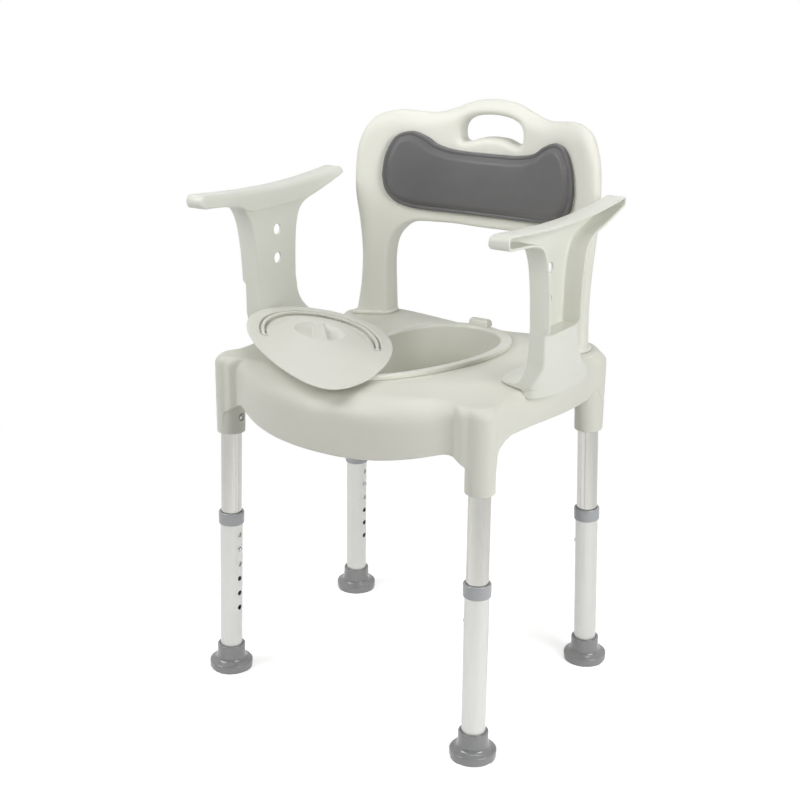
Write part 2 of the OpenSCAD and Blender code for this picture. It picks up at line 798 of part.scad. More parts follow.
module bail_pins(r, l) {
  for (s = [-1, 1])
    translate([s * bail_x, bail_y, bail_z])
      rotate([0, 90, 0])
        cylinder(r = r, h = l, center = true);
}
bowl_shares = [[1, 0], [0.9, 0.34], [0.74, 0.66], [0.5, 0.89], [0.25, 0.98], [0, 1]];
module finger_recess(grow, down) {
  rotate_extrude()
    polygon(concat(
      [[0, over], [recess_d / 2 + grow, over]],
      [for (q = bowl_shares) [q[0] * (recess_d / 2 + grow), -q[1] * recess_deep - down]]
    ));
}
// the bridge across the recess widens towards the lid's front and towards its root
bridge_front_share = 0.3;
bridge_rear_share = 0.12;
bridge_flank = 2;
module bridge(grow) {
  a = recess_d * bridge_front_share / 2 + grow;
  b = recess_d * bridge_rear_share / 2 + grow;
  polygon([[-a, -recess_d], [a, -recess_d], [b, recess_d], [-b, recess_d]]);
}
skirt_in = 17;
skirt_t = 2.4;
module lid() {
  color(plastic_light)
    lid_place()
      difference() {
        union() {
          translate([0, 0, -lid_wall])
            linear_extrude(lid_wall) polygon(egg_ring(lid_half_len, lid_half_w, 0, lid_taper));
          difference() {
            translate([0, 0, -lid_h])
              linear_extrude(lid_h - lid_wall / 2) polygon(egg_ring(lid_half_len, lid_half_w, skirt_in, lid_taper));
            translate([0, 0, -lid_h - over])
              linear_extrude(lid_h) polygon(egg_ring(lid_half_len, lid_half_w, skirt_in + skirt_t, lid_taper));
          }
          translate([0, 0, -lid_h]) linear_extrude(lid_h - lid_wall / 2) slot_shape(trough_wall);
          translate([-notch_w / 2 - trough_wall, notch_y - trough_wall, -lid_h])
            cube([notch_w + 2 * trough_wall, notch_d + trough_wall + over, lid_h - lid_wall / 2]);
          translate([0, recess_y, 0])
            intersection() {
              finger_recess(lid_wall, lid_wall);
              translate([-recess_d, -recess_d, -lid_h - lid_wall - recess_deep])
                cube([2 * recess_d, 2 * recess_d, lid_h + recess_deep + lid_wall / 2]);
            }
        }
        translate([0, 0, -lid_h + lid_wall / 2])
          linear_extrude(lid_h + over) slot_shape(0);
        translate([-notch_w / 2, notch_y, -lid_h + lid_wall / 2]) cube([notch_w, notch_d + over, lid_h + over]);
        bail_pins(pin_r + pivot_gap, pin_len);
        translate([0, recess_y, 0])
          difference() {
            finger_recess(0, 0);
            translate([0, 0, -recess_deep - over]) linear_extrude(recess_deep + 3 * over) bridge(0);
            translate([0, 0, -recess_deep - over]) linear_extrude(recess_deep / 2 + over) bridge(bridge_flank);
          }
      }
}

// bail: a flat strip that follows the lid's edge, with a round eye and a pin at each end
module lid_handle() {
  color(plastic_light)
    lid_place() {
      translate([0, 0, -bail_h])
        linear_extrude(bail_h)
          polygon(band(bail_t0, 360 - bail_t0, bail_inset - bail_w / 2, bail_inset + bail_w / 2));
      bail_pins(bail_h / 2, bail_w);
      bail_pins(pin_r, pin_len - 2 * lid_gap);
    }
}

// backrest: one loft from post to post; its inner edge follows the arch and its outer edge the shoulders.
// Shares of the half width and of the height, matched station by station from the post's foot to the centre.
back_outer_shares = [
  [0.972, 0], [0.953, 0.14], [0.954, 0.29], [0.975, 0.43], [1, 0.555], [1.003, 0.665], [0.987, 0.77], [0.945, 0.85],
  [0.885, 0.9], [0.81, 0.925], [0.71, 0.936], [0.6, 0.933], [0.495, 0.928], [0.405, 0.936], [0.3, 0.958],
  [0.165, 0.988], [0, 1]
];
back_inner_shares = [
  [0.745, 0], [0.756, 0.125], [0.764, 0.24], [0.755, 0.32], [0.733, 0.364], [0.7, 0.394], [0.658, 0.417],
  [0.612, 0.431], [0.57, 0.438], [0.522, 0.44], [0.465, 0.44], [0.4, 0.44], [0.336, 0.44], [0.274, 0.439],
  [0.204, 0.437], [0.115, 0.434], [0, 0.433]
];
back_steps = 46;
back_z = seat_top + seat_gap;
function back_front(x) = back_y - x * x / (2 * back_bend_r);
// the posts lean forwards below the crossbar, and thicken towards their feet
lean_top_share = 0.45;
lean_power = 1.5;
function lean(z) = pow(clamp01(1 - (z - back_z) / (lean_top_share * back_h)), lean_power);
function back_half(t, u) = let (c = curve_at(t, u)) [c[0] * back_half_w, back_z + c[1] * (back_h - seat_gap)];
function mirror_x(p) = [-p[0], p[1]];
function back_station(t, i) = i <= back_steps ? back_half(t, i / back_steps) : mirror_x(back_half(t, 2 - i / back_steps));
across_shares = [0.25, 0.5, 0.75];
function back_ring(i) =
  let (
    a = back_station(back_inner_shares, i),
    b = back_station(back_outer_shares, i),
    l = norm(b - a),
    r = min(back_edge_r, l / 3),
    t = back_t + post_extra * lean((a[1] + b[1]) / 2),
    across = concat(
      [for (k = [0 : 3]) [r - r * cos(30 * k), r - r * sin(30 * k)]],
      [for (s = across_shares) [lerp(r, l - r, s), 0]],
      [for (k = [3 : -1 : 0]) [l - r + r * cos(30 * k), r - r * sin(30 * k)]],
      [for (k = [0 : 3]) [l - r + r * cos(30 * k), t - r + r * sin(30 * k)]],
      [for (k = [2 : -1 : 0]) [lerp(r, l - r, across_shares[k]), t]],
      [for (k = [3 : -1 : 0]) [r - r * cos(30 * k), t - r + r * sin(30 * k)]]
    )
  )
  [for (q = across) let (w = lerp(a, b, q[0] / l)) [w[0], back_front(w[0]) - post_lean * lean(w[1]) + q[1], w[1]]];

// kidney shaped hand slot: shares of its half width, and heights as shares of the backrest's
slot_upper_shares = [[1, 0.848], [0.965, 0.88], [0.83, 0.906], [0.55, 0.924], [0.25, 0.931], [0, 0.933]];
slot_lower_shares = [[0, 0.835], [0.3, 0.832], [0.52, 0.823], [0.72, 0.812], [0.88, 0.81], [0.975, 0.822], [1, 0.848]];
slot_steps = 14;
function slot_at(t, u) = let (c = curve_at(t, u)) [c[0] * slot_half_w, back_z + c[1] * (back_h - seat_gap)];
slot_right = concat(
  [for (i = [0 : slot_steps - 1]) slot_at(slot_lower_shares, i / slot_steps)],
  [for (i = [0 : slot_steps - 1]) slot_at(slot_upper_shares, i / slot_steps)]
);
slot_outline = concat(
  slot_right,
  [slot_at(slot_upper_shares, 1)],
  [for (i = [len(slot_right) - 1 : -1 : 1]) mirror_x(slot_right[i])]
);
module backrest() {
  color(plastic)
    in_frame() {
      difference() {
        skin([for (i = [2 * back_steps : -1 : 0]) back_ring(i)]);
        translate([0, back_y + back_t + over, 0])
          rotate([90, 0, 0])
            linear_extrude(2 * back_t + 2 * over) polygon(slot_outline);
      }
      for (s = [-1, 1]) {
        plug_up(s * post_x, post_plug_y);
        mirror([s < 0 ? 1 : 0, 0, 0])
          translate([0, 0, back_z + seat_gap]) linear_extrude(flange_h) polygon(flange_outline);
      }
    }
}
// flange round the foot of each post
flange_h = 6.5;
flange_out = 4;
flange_outline = inset([for (q = back_ring(0)) [q[0], q[1]]], -flange_out);
module plug_up(x, y) {
  translate([x - plug_w / 2, y - plug_d / 2, seat_top - plug_len]) cube([plug_w, plug_d, plug_len + over]);
}

// back pad: a cushion between an upper and a lower edge, shares of its half width and of the backrest's height
pad_upper_shares = [[0, 0.767], [0.3, 0.771], [0.5, 0.79], [0.62, 0.825], [0.75, 0.847], [0.88, 0.825], [0.97, 0.745], [1, 0.65]];
pad_lower_shares = [[0, 0.49], [0.3, 0.492], [0.5, 0.496], [0.62, 0.499], [0.75, 0.506], [0.88, 0.529], [0.97, 0.58], [1, 0.65]];
pad_steps = 26;
pad_end_share = 0.996;
pad_gap = 0.7;
pad_edge = 8;
pad_thin_share = 0.6;
pad_full_shares = 6;
pad_in_shares = [0.1, 0.12, 0.5];
pad_up_shares = [0.42, 0.53, 0.58, 0.7, 0.94];
pad_along_shares = [0.2, 0.25, 0.5, 0.75, 0.8];
function pad_at(t, u) = let (c = curve_at(t, u)) [c[0] * pad_half_w, back_z + c[1] * (back_h - seat_gap)];
function pad_section(i) =
  let (
    u = pad_end_share * sin(90 * abs(i) / pad_steps),
    a = pad_at(pad_lower_shares, u),
    b = pad_at(pad_upper_shares, u),
    s = i < 0 ? -1 : 1,
    l = max(norm(b - a), pad_edge / 8),
    e = min(pad_edge, l / 3),
    crown = pad_t * lerp(pad_thin_share, 1, sqrt(clamp01(l / (pad_full_shares * pad_edge)))),
    k = pad_in_shares * e,
    h = pad_up_shares * crown,
    m = [for (g = pad_along_shares) lerp(e, l - e, g)],
    prof = [
      [k[0], 0], [0, h[0]], [k[1], h[1]], [k[2], h[2]], [e, h[3]], [m[0], h[4]], [m[2], crown],
      [m[4], h[4]], [l - e, h[3]], [l - k[2], h[2]], [l - k[1], h[1]], [l, h[0]], [l - k[0], 0],
      [m[3], 0], [m[2], 0], [m[1], 0]
    ]
  )
  [
    for (q = prof)
      let (w = lerp(a, b, q[0] / l))
      [s * w[0], back_front(w[0]) - pad_gap - q[1], w[1]]
  ];
module back_pad() {
  color(pad_grey)
    in_frame()
      skin([for (i = [-pad_steps : pad_steps]) pad_section(i)]);
}

// armrest: side outline in shares of its reach and its height, from the front of the post's foot round to the rear
arm_outline_shares = [
  [-0.394, 0.26], [-0.4, 0.4], [-0.415, 0.56], [-0.44, 0.7], [-0.475, 0.805], [-0.54, 0.888],
  [-0.66, 0.932], [-0.82, 0.944], [-0.98, 0.95], [-1.018, 0.965], [-1.03, 0.99], [-1.015, 1.014], [-0.97, 1.026],
  [-0.7, 1.014], [-0.35, 1.004], [0, 1.006], [0.35, 1.024], [0.62, 1.044], [0.725, 1.054], [0.755, 1.05],
  [0.765, 1.035], [0.755, 1.018], [0.66, 0.99], [0.44, 0.938], [0.25, 0.885], [0.165, 0.82], [0.125, 0.735],
  [0.108, 0.62], [0.102, 0.45], [0.104, 0.32], [0.105, 0.26]
];
arm_fine = 3;
function arm_point(q) = [q[0] * arm_reach, seat_top + q[1] * arm_h];
arm_n = (len(arm_outline_shares) - 1) * arm_fine;
arm_loop_cw = [for (i = [0 : arm_n]) arm_point(curve_at(arm_outline_shares, i / arm_n))];
arm_loop = reversed(arm_loop_cw);
// foot: rings from the lip up; the toe runs out inwards over the seat, the outer skin bows outwards
foot_edge_x = 250;
foot_bow = 18;
foot_skew = 27;
foot_front = 68;
foot_rear = 72;
toe_t = 2.5;
foot_skin = 0.6;
post_front_share = 0.4;
post_rear_share = 0.105;
toe_shares = [[0, 0], [0.3, 0.02], [0.583, 0.073], [0.8, 0.18], [0.917, 0.34], [0.98, 0.62], [1, 1]];
rear_shares = [0, 0.05, 0.2, 0.43, 0.7, 0.92, 1];
foot_steps = 14;
foot_points = 40;
square_low = 4;
square_out = 6;
square_high = 14;
function square_off(v, n) = sgn(v) * pow(abs(v), 2 / n);
function foot_ring(i) =
  let (
    u = max(i, 0) / foot_steps,
    t = curve_at(toe_shares, u),
    v = smooth(t[1] * 2),
    x0 = lerp(foot_toe_x, arm_x - foot_skin, t[0]),
    x1 = lerp(foot_edge_x, arm_x + arm_w + foot_skin, v),
    y0 = -lerp(foot_front, post_front_share * arm_reach + foot_skin, v),
    y1 = lerp(foot_rear, post_rear_share * arm_reach + foot_skin, curve_at(rear_shares, u)),
    bow = foot_bow * (1 - v),
    skew = foot_skew * (1 - t[0]),
    z = i < 0 ? seat_top - foot_lap : seat_top + 2 * seat_gap + toe_t + (foot_h - toe_t) * t[1]
  )
  [
    for (k = [0 : foot_points - 1])
      let (
        a = 360 * (k + 1 / 2) / foot_points,
        n = lerp(cos(a) < 0 ? square_low : square_out, square_high, v),
        px = square_off(cos(a), n),
        py = square_off(sin(a), n)
      )
      [
        lerp(x0, x1, (px + 1) / 2) + bow * (px + 1) / 2 * (1 - py * py),
        lerp(y0, y1, (py + 1) / 2) + skew * (1 - px) * (1 - py) / 4,
        z
      ]
  ];
pocket_sink = 3;
// cheek: the bar's inner face leans out over the web, from its top edge down to a crease.
// Shares of the reach and of the height: station, crease, top
cheek_out = 3.5;
cheek_sink = 1;
cheek_shares = [
  [-1, 0.972, 1], [-0.97, 0.956, 1.018], [-0.8, 0.95, 1.012], [-0.6, 0.925, 1.005], [-0.45, 0.905, 1],
  [-0.2, 0.89, 0.998], [0, 0.878, 0.999], [0.15, 0.872, 1.003], [0.3, 0.905, 1.012], [0.5, 0.962, 1.028],
  [0.68, 1.003, 1.042], [0.735, 1.022, 1.046]
];
function cheek_ring(c) =
  let (y = c[0] * arm_reach, low = seat_top + c[1] * arm_h, high = seat_top + c[2] * arm_h, x = arm_x + cheek_sink)
  [[arm_x - cheek_out, y, low], [x, y, low], [x, y, high], [arm_x + cheek_sink / 3, y, high]];
module seat_side_cut() {
  e = edge_side_r + seat_gap;
  x1 = seat_half + seat_gap;
  z1 = seat_top + seat_gap;
  translate([0, foot_front * 2, 0])
    rotate([90, 0, 0])
      linear_extrude(4 * foot_front)
        union() {
          translate([0, z1 - 2 * socket_drop]) square([x1, 2 * socket_drop - e]);
          translate([0, z1 - 2 * e]) square([x1 - e, 2 * e]);
          translate([x1 - e, z1 - e]) circle(r = e);
        }
}
module armrest(left) {
  color(plastic)
    in_frame()
      mirror([left ? 1 : 0, 0, 0]) {
        difference() {
          union() {
            difference() {
              translate([arm_x, 0, 0])
                rotate([90, 0, 90])
                  linear_extrude(arm_w) polygon(arm_loop);
              intersection() {
                translate([arm_x + arm_wall, 0, 0])
                  rotate([90, 0, 90])
                    linear_extrude(arm_w) polygon(inset_clean(arm_loop, arm_wall));
                translate([arm_x, -2 * arm_reach, seat_top + foot_h - pocket_sink])
                  cube([2 * arm_w, 4 * arm_reach, 2 * arm_h]);
              }
            }
            skin([for (i = [foot_steps : -1 : -1]) foot_ring(i)]);
            skin([for (c = cheek_shares) cheek_ring(c)]);
          }
          seat_side_cut();
          for (k = [0, 1])
            translate([arm_x - over, -web_hole_y, seat_top + web_hole_up - k * web_hole_step])
              rotate([0, 90, 0])
                cylinder(d = web_hole_d, h = arm_wall + 2 * over);
        }
        translate([foot_plug_x - foot_plug_w / 2, foot_plug_y - foot_plug_d / 2, seat_top - foot_plug_len])
          cube([foot_plug_w, foot_plug_d, foot_plug_len + over]);
      }
}

module upper_tube_fl() { upper_tube(true, false); }
module upper_tube_fr() { upper_tube(false, false); }
module upper_tube_rl() { upper_tube(true, true); }
module upper_tube_rr() { upper_tube(false, true); }
module socket_screw_fl() { socket_screw(true, false); }
module socket_screw_fr() { socket_screw(false, false); }
module socket_screw_rl() { socket_screw(true, true); }
module socket_screw_rr() { socket_screw(false, true); }
module clip_fl() { clip(true, false); }
module clip_fr() { clip(false, false); }
module clip_rl() { clip(true, true); }
module clip_rr() { clip(false, true); }
module lower_tube_fl() { lower_tube(true, false); }
module lower_tube_fr() { lower_tube(false, false); }
module lower_tube_rl() { lower_tube(true, true); }
module lower_tube_rr() { lower_tube(false, true); }
module collar_fl() { collar(true, false); }
module collar_fr() { collar(false, false); }
module collar_rl() { collar(true, true); }
module collar_rr() { collar(false, true); }
module ferrule_fl() { ferrule(true, false); }
module ferrule_fr() { ferrule(false, false); }
module ferrule_rl() { ferrule(true, true); }
module ferrule_rr() { ferrule(false, true); }
module armrest_left() { armrest(true); }
module armrest_right() { armrest(false); }

seat();
upper_tube_fl();
upper_tube_fr();
upper_tube_rl();
upper_tube_rr();
socket_screw_fl();
socket_screw_fr();
socket_screw_rl();
socket_screw_rr();
clip_fl();
clip_fr();
clip_rl();
clip_rr();
lower_tube_fl();
lower_tube_fr();
lower_tube_rl();
lower_tube_rr();
collar_fl();
collar_fr();
collar_rl();
collar_rr();
ferrule_fl();
ferrule_fr();
ferrule_rl();
ferrule_rr();
pan();
lid();
lid_handle();
backrest();
back_pad();
armrest_left();
armrest_right();
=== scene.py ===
"""Shower commode chair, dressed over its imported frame. Metres, +Z up, the chair faces -Y.

Sizes below follow the part's own, in millimetres, measured from midway between its feet; SHIFT moves
them to the frame. A few differ from the part's where the real chair looks different.
"""
import bpy
import bmesh
import math
import numpy as np
from mathutils import Matrix, Vector
from mathutils.geometry import delaunay_2d_cdt


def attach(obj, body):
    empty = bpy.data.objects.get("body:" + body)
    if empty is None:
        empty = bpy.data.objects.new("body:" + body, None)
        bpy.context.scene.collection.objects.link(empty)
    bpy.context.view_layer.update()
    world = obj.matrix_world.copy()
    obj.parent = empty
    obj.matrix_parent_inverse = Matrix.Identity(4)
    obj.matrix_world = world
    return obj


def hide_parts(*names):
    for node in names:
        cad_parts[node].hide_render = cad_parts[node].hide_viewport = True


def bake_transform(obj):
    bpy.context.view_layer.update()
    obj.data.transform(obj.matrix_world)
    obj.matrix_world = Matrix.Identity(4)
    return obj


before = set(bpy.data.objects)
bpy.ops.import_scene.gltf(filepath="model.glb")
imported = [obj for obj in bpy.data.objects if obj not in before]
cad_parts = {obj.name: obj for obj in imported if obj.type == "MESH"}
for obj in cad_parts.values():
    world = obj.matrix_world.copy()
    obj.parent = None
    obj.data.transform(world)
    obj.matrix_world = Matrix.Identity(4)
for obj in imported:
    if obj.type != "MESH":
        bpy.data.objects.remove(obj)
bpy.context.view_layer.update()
scene = bpy.context.scene

MM = 0.001
SHIFT = 1.33962
TURN = 2 * math.pi
# Each leg: is it on the left, is it at the rear
LEGS = {"fl": (True, False), "fr": (False, False), "rl": (True, True), "rr": (False, True)}

# Seat: outline, edges and aprons
SEAT_TOP = 525.0
SEAT_HALF = 241.0
SIDE_BOW = 9.0
FRONT, FRONT_BASE, REAR = 236.0, 180.0, 222.0
BULGE_HALF = 190.0
CORNER_R, REAR_CORNER_R = 46.0, 60.0
WALL = 4.5
LEDGE_DROP, LEDGE_SPAN = 7.0, 170.0
LEDGE_MARGIN = 3.0
OPENING_HEM, HEM_EDGE = 26.0, 2.0
LOWER_EDGE_W, LOWER_EDGE_H = 1.5, 1.6
EDGE_FRONT, EDGE_SIDE, EDGE_REAR, EDGE_COLUMN, EDGE_RUN = 36.0, 16.0, 13.0, 16.0, 50.0
APRON_FRONT, APRON_RISE, APRON_SIDE, APRON_REAR = 92.0, 25.0, 53.0, 55.0
SIDE_FALL, FALL_START, FALL_RUN = 11.0, -100.0, 210.0
# The seat is drawn along rays that start at LOFT_Y, inside its opening
LOFT_Y = 15.0
# Seat: columns, and how the lower edge climbs away from them
COLUMN_R, COLUMN_BLEND, SIDE_BLEND = 21.6, 46.0, 14.0
# Degrees to each side of a column where the rays lie closer
COLUMN_ARC = 9.0
MOUTH_FRONT, MOUTH_REAR = 17.0, 8.0
LIP_UP, LIP_RUN = 36.0, 5.0
NOTCH_UP, NOTCH_RUN = 70.0, 22.0
REAR_START, REAR_RUN = 24.0, 16.0
SIDE_RUN, FRONT_RUN = 60.0, 45.0
# Sockets, their screws and the legs' splay in degrees, sideways and lengthwise
SOCKET_X, SOCKET_FRONT, SOCKET_BACK, SOCKET_DROP = 221.0, 167.0, 163.0, 123.0
SOCKET_R, SOCKET_DEPTH, SOCKET_EDGE, BORE_R = 21.3, 92.0, 1.4, 16.1
SOCKET_Z = SEAT_TOP - SOCKET_DROP
SCREW_Z, SCREW_SINK, SCREW_SEAT_R, SCREW_LIFT = SOCKET_Z + 26.0, 2.9, 6.4, 0.1
SCREW_R, SCREW_RIM, SCREW_CROWN = 4.5, 1.1, 1.7
CROSS_SIZE, CROSS_Z = (5.2, 1.1, 3.0), 2.8
SPLAY = {False: (1.0, 1.28), True: (1.55, 1.85)}
# Ferrules and collars, from the leg's foot upwards
FERRULE_R, FERRULE_NECK_R, FERRULE_H, FERRULE_BORE_R, FERRULE_SOLE = 34.0, 22.0, 41.0, 17.7, 10.0
SOLE_TRIM = 1.6
COLLAR_R, COLLAR_LOW, COLLAR_TOP, COLLAR_BORE_R = 20.0, 250.1, 270.1, 17.6
# Snap clips: button, and the leaf bent round LEAF_R below it
BUTTON_Z, BUTTON_R, BUTTON_END, BUTTON_CROWN = 208.0, 4.0, 21.1, 1.25
LEAF_T, LEAF_W, LEAF_R, LEAF_X = 0.9, 9.0, 4.0, 13.38
LEAF_UP, LEAF_LOW, LEAF_REST = 12.0, -26.0, 3.0
# Pan
PAN_LEN, PAN_W, PAN_Y, PAN_TAPER = 178.0, 102.0, 27.0, 0.3
RIM_W, RIM_H, RIM_IN, RIM_EDGE, RIM_LEAD = 13.5, 6.6, 1.3, 2.0, 5.0
PAN_DEPTH, PAN_WALL, PAN_GAP = 112.0, 3.0, 1.5
PAN_DRAFT, PAN_BOTTOM_R, PAN_FLARE = 9.0, 26.0, 1.6
GRIP_H = 11.0
# Lid and bail
LID_LEN, LID_W, LID_TAPER = 170.0, 106.0, 0.33
LID_H, LID_WALL, LID_EDGE = 6.0, 3.0, 1.4
LID_AT, LID_TURN = (-86.1, -114.8, SEAT_TOP + 23.0), (-2.51, 9.97, 40.14)
RECESS_R, RECESS_DEEP, RECESS_Y = 39.0, 9.5, 62.0
BRIDGE_FRONT, BRIDGE_REAR, BRIDGE_WALL = 9.9, 6.4, 2.4
BAIL_W, BAIL_H, BAIL_INSET, BAIL_Y, BAIL_EDGE = 4.5, 4.0, 23.0, 17.0, 0.9
EYE_R, PIN_R, PIN_LEN, PIN_EDGE = BAIL_H / 2 + 0.35, 1.5, 9.9, 0.3
TROUGH_GAP, TROUGH_WIDE, TROUGH_FLOOR = 3.4, 15.0, 1.5
REAR_NOTCH, REAR_NOTCH_HALF, REAR_NOTCH_RUN = 4.0, 19.5, 5.0
GROOVE_GAP, GROOVE_DEEP, GROOVE_FLOOR = 2.9, 10.0, 1.5
BRINK_EASE = 0.35
# Radians that a loop's ends move on for each millimetre it grows
END_GROWTH = 0.006
BAIL_START = math.acos(-BAIL_Y / (LID_LEN - BAIL_INSET))
# Backrest and pad; a face's edge form is how far in it starts and how deep it falls
BACK_HALF, BACK_H, BACK_Y, BACK_BEND, BACK_T = 219.0, 360.0, 217.0, 328.0, 34.0
BACK_LIFT = 0.4
BACK_Z = SEAT_TOP + BACK_LIFT
POST_LEAN, POST_EXTRA, POST_SHARE = 11.0, 6.0, 0.45
FRONT_EDGES = {"outer": (26, 17), "arch": (6, 5), "slot": (11, 10)}
REAR_EDGES = {"outer": (22, 16), "arch": (6, 5), "slot": (9, 8)}
SLOT_HALF = 57.0
PAD_HALF, PAD_GAP = 172.0, 0.7
PAD_LIP, PAD_LIP_R = 9.6, 2.4
PAD_SEAM, PAD_SEAM_DEEP, PAD_SEAM_W = 5.8, 0.9, 0.9
PANEL_IN, PANEL_UP, PANEL_RUN = 6.0, 5.6, 8.5
PANEL_CROWN, CROWN_IN, CROWN_RUN = 2.0, 12.0, 18.0
SWELL_IN, SWELL_RUN, SWELL_MOST, SWELL_FRAMES = 6.5, 14.0, 2.2, 14
# Armrests
ARM_H, ARM_REACH, ARM_X, ARM_W, ARM_WALL = 231.0, 191.0, 237.0, 32.0, 3.6
WEB_EDGE, BAR_EDGE, HOLE_EDGE = (4.4, 4.0), (7.5, 5.5), (1.0, 0.8)
BAR_SHARE, BAR_RUN = 0.965, 6.0
CHEEK_OUT, CHEEK_CREASE, CHEEK_FADE = 3.5, 1.4, 0.16
FOOT_H, FOOT_LAP, FOOT_SILL, FOOT_BASE, FOOT_CAP = 82.0, 8.0, 1.6, 3.6, 0.8
FOOT_STEP, STEP_OVER, STEP_RUN, FOOT_PROUD = 7.0, 9.0, 10.0, 0.05
FOOT_TOE_X, FOOT_OUT_X, FOOT_FRONT, FOOT_HEEL = 177.0, 250.0, 84.0, 92.0
FOOT_BOW, FOOT_BOW_TOP, TOE_CUT, UNDERCUT_X, UNDERCUT_Y = 18.0, 5.0, 27.0, 9.0, 7.0
TOE_SQUARE, SKIN_SQUARE, TOP_SQUARE = 4.0, 7.0, 14.0
HOLE_R, HOLE_STEP, HOLE_UP, HOLE_Y = 8.5, 45.0, 165.5, -27.0
# Studio, in metres, watts and degrees: lamps as place, size and power, the spot as place, aim and power
FLOOR_SIZE, FLOOR_LIFT, FLOOR_FADE = 6.0, 0.6, (0.45, 1.5)
WORLD_LIGHT, SHINE_LOW, SHINE_SPAN = 0.06, 0.12, (-0.7, 0.3)
BACKDROP = (-0.55, 0.83, 0.0)
LAMPS = {
    "right_softbox": ((2.0, -0.4, 1.3), 1.2, 28.0),
    "top_softbox": ((0.2, 0.2, 2.6), 1.2, 13.0),
    "left_softbox": ((-1.0, -1.2, 1.65), 1.2, 20.0),
}
LAMP_AIM = (0, 0, 0.45)
BACK_SPOT = (0.3, -1.4, 1.5), (0.02, 0.19, 0.84), 34.0
SPOT_CONE, SPOT_SOFT = 28.0, 0.3
# Camera: place in millimetres, yaw, pitch and roll in degrees, lens in millimetres
CAMERA_AT, CAMERA_TURN, CAMERA_LENS = (1054.89, -1612.73, 1072.15), (33.74, 17.94, 0.63), 59.391


# Plain helpers

def lerp(a, b, u):
    return a + (b - a) * u


def smooth(u):
    u = np.clip(u, 0, 1)
    return u * u * (3 - 2 * u)


def quarter(u):
    """Rise from 0 to 1 along a quarter circle, steep first."""
    return np.sqrt(1 - (1 - np.clip(u, 0, 1)) ** 2)


def rounding(d, width, depth):
    """How far a face falls away at distance d from an edge that is rounded over a width."""
    return depth * (1 - quarter(d / width))


def arc(x, z, rx, rz, degrees):
    """Points on an ellipse about (x, z), the angles counted from +x towards +z."""
    return [(x + rx * math.cos(a), z + rz * math.sin(a)) for a in np.radians(degrees)]


def through(table, u):
    """Catmull-Rom curve through a table of points, u from 0 to 1."""
    t = np.asarray(table, float)
    t = t[:, None] if t.ndim == 1 else t
    v = np.clip(np.asarray(u, float), 0, 1) * (len(t) - 1)
    i = np.minimum(np.floor(v).astype(int), len(t) - 2)
    w = (v - i)[:, None]
    a, b = t[np.maximum(i - 1, 0)], t[i]
    c, d = t[i + 1], t[np.minimum(i + 2, len(t) - 1)]
    square = 2 * a - 5 * b + 4 * c - d
    cube = 3 * b - a - 3 * c + d
    return 0.5 * (2 * b + (c - a) * w + square * w ** 2 + cube * w ** 3)


def evenly(path, step):
    """The same path with its points a step apart."""
    p = np.asarray(path, float)
    s = np.concatenate([[0], np.cumsum(np.linalg.norm(np.diff(p, axis=0), axis=1))])
    n = max(int(round(s[-1] / step)), 2)
    at = np.linspace(0, s[-1], n + 1)
    return np.stack([np.interp(at, s, p[:, k]) for k in range(p.shape[1])], 1)


def loop_evenly(loop, step):
    """The same closed loop with its points a step apart."""
    return evenly(np.vstack([loop, loop[:1]]), step)[:-1]


def mirrored(path):
    """A half path that ends on the centre line, and its mirror image after it."""
    return np.vstack([path, (path * [-1, 1])[::-1][1:]])


def left_normals(v):
    """Unit normals to the left of a row of directions."""
    return np.stack([-v[:, 1], v[:, 0]], 1) / np.linalg.norm(v, axis=1)[:, None]


def loop_directions(loop):
    return np.roll(loop, -1, 0) - np.roll(loop, 1, 0)


def inside(points, loop):
    x, y = np.asarray(points, float).T
    p, q = np.asarray(loop, float), np.roll(np.asarray(loop, float), -1, 0)
    hit = np.zeros(len(x), bool)
    for (x0, y0), (x1, y1) in zip(p, q):
        if y0 != y1:
            hit ^= ((y0 > y) != (y1 > y)) & (x < (x1 - x0) * (y - y0) / (y1 - y0) + x0)
    return hit


def away(points, path, closed=False):
    """Distance of each point from a path."""
    pts = np.asarray(points, float)
    a = np.asarray(path, float)
    b = np.roll(a, -1, 0) if closed else a[1:]
    a = a if closed else a[:-1]
    best = np.full(len(pts), 1e9)
    for p, q in zip(a, b):
        v = q - p
        u = np.clip(((pts - p) @ v) / max(v @ v, 1e-12), 0, 1)
        best = np.minimum(best, np.hypot(*(pts - p - u[:, None] * v).T))
    return best


def within(points, loop, margin=0.02):
    """True for points inside a loop or no further from it than the margin."""
    return inside(points, loop) | (away(points, loop, True) < margin)


def inset(loop, d):
    """A closed loop moved inwards, without the points that come too near another part of it."""
    p = np.asarray(loop, float)
    area = np.sum(p[:, 0] * np.roll(p[:, 1], -1) - p[:, 1] * np.roll(p[:, 0], -1))
    q = p + left_normals(loop_directions(p)) * d * np.sign(area)
    return q[away(q, p, True) > 0.96 * abs(d)]


def grid_in(loop, step, margin, holes=()):
    """Staggered points inside a loop, clear of its edge and of the holes'."""
    lo, hi = np.min(loop, 0), np.max(loop, 0)
    rows = []
    for k, y in enumerate(np.arange(lo[1], hi[1], step * 0.87)):
        x = np.arange(lo[0] + (k % 2) * step / 2, hi[0], step)
        rows.append(np.stack([x, np.full(len(x), y)], 1))
    p = np.vstack(rows)
    p = p[inside(p, loop)]
    p = p[away(p, loop, True) > margin]
    for hole in holes:
        p = p[~within(p, hole, margin)]
    return p


# Meshes

def quads(rows, cols, wrap_rows=False):
    """Faces of a grid of points, row by row; each row is a closed ring."""
    faces = []
    for i in range(rows if wrap_rows else rows - 1):
        for j in range(cols):
            k, m = (i + 1) % rows, (j + 1) % cols
            faces.append((i * cols + j, i * cols + m, k * cols + m, k * cols + j))
    return faces


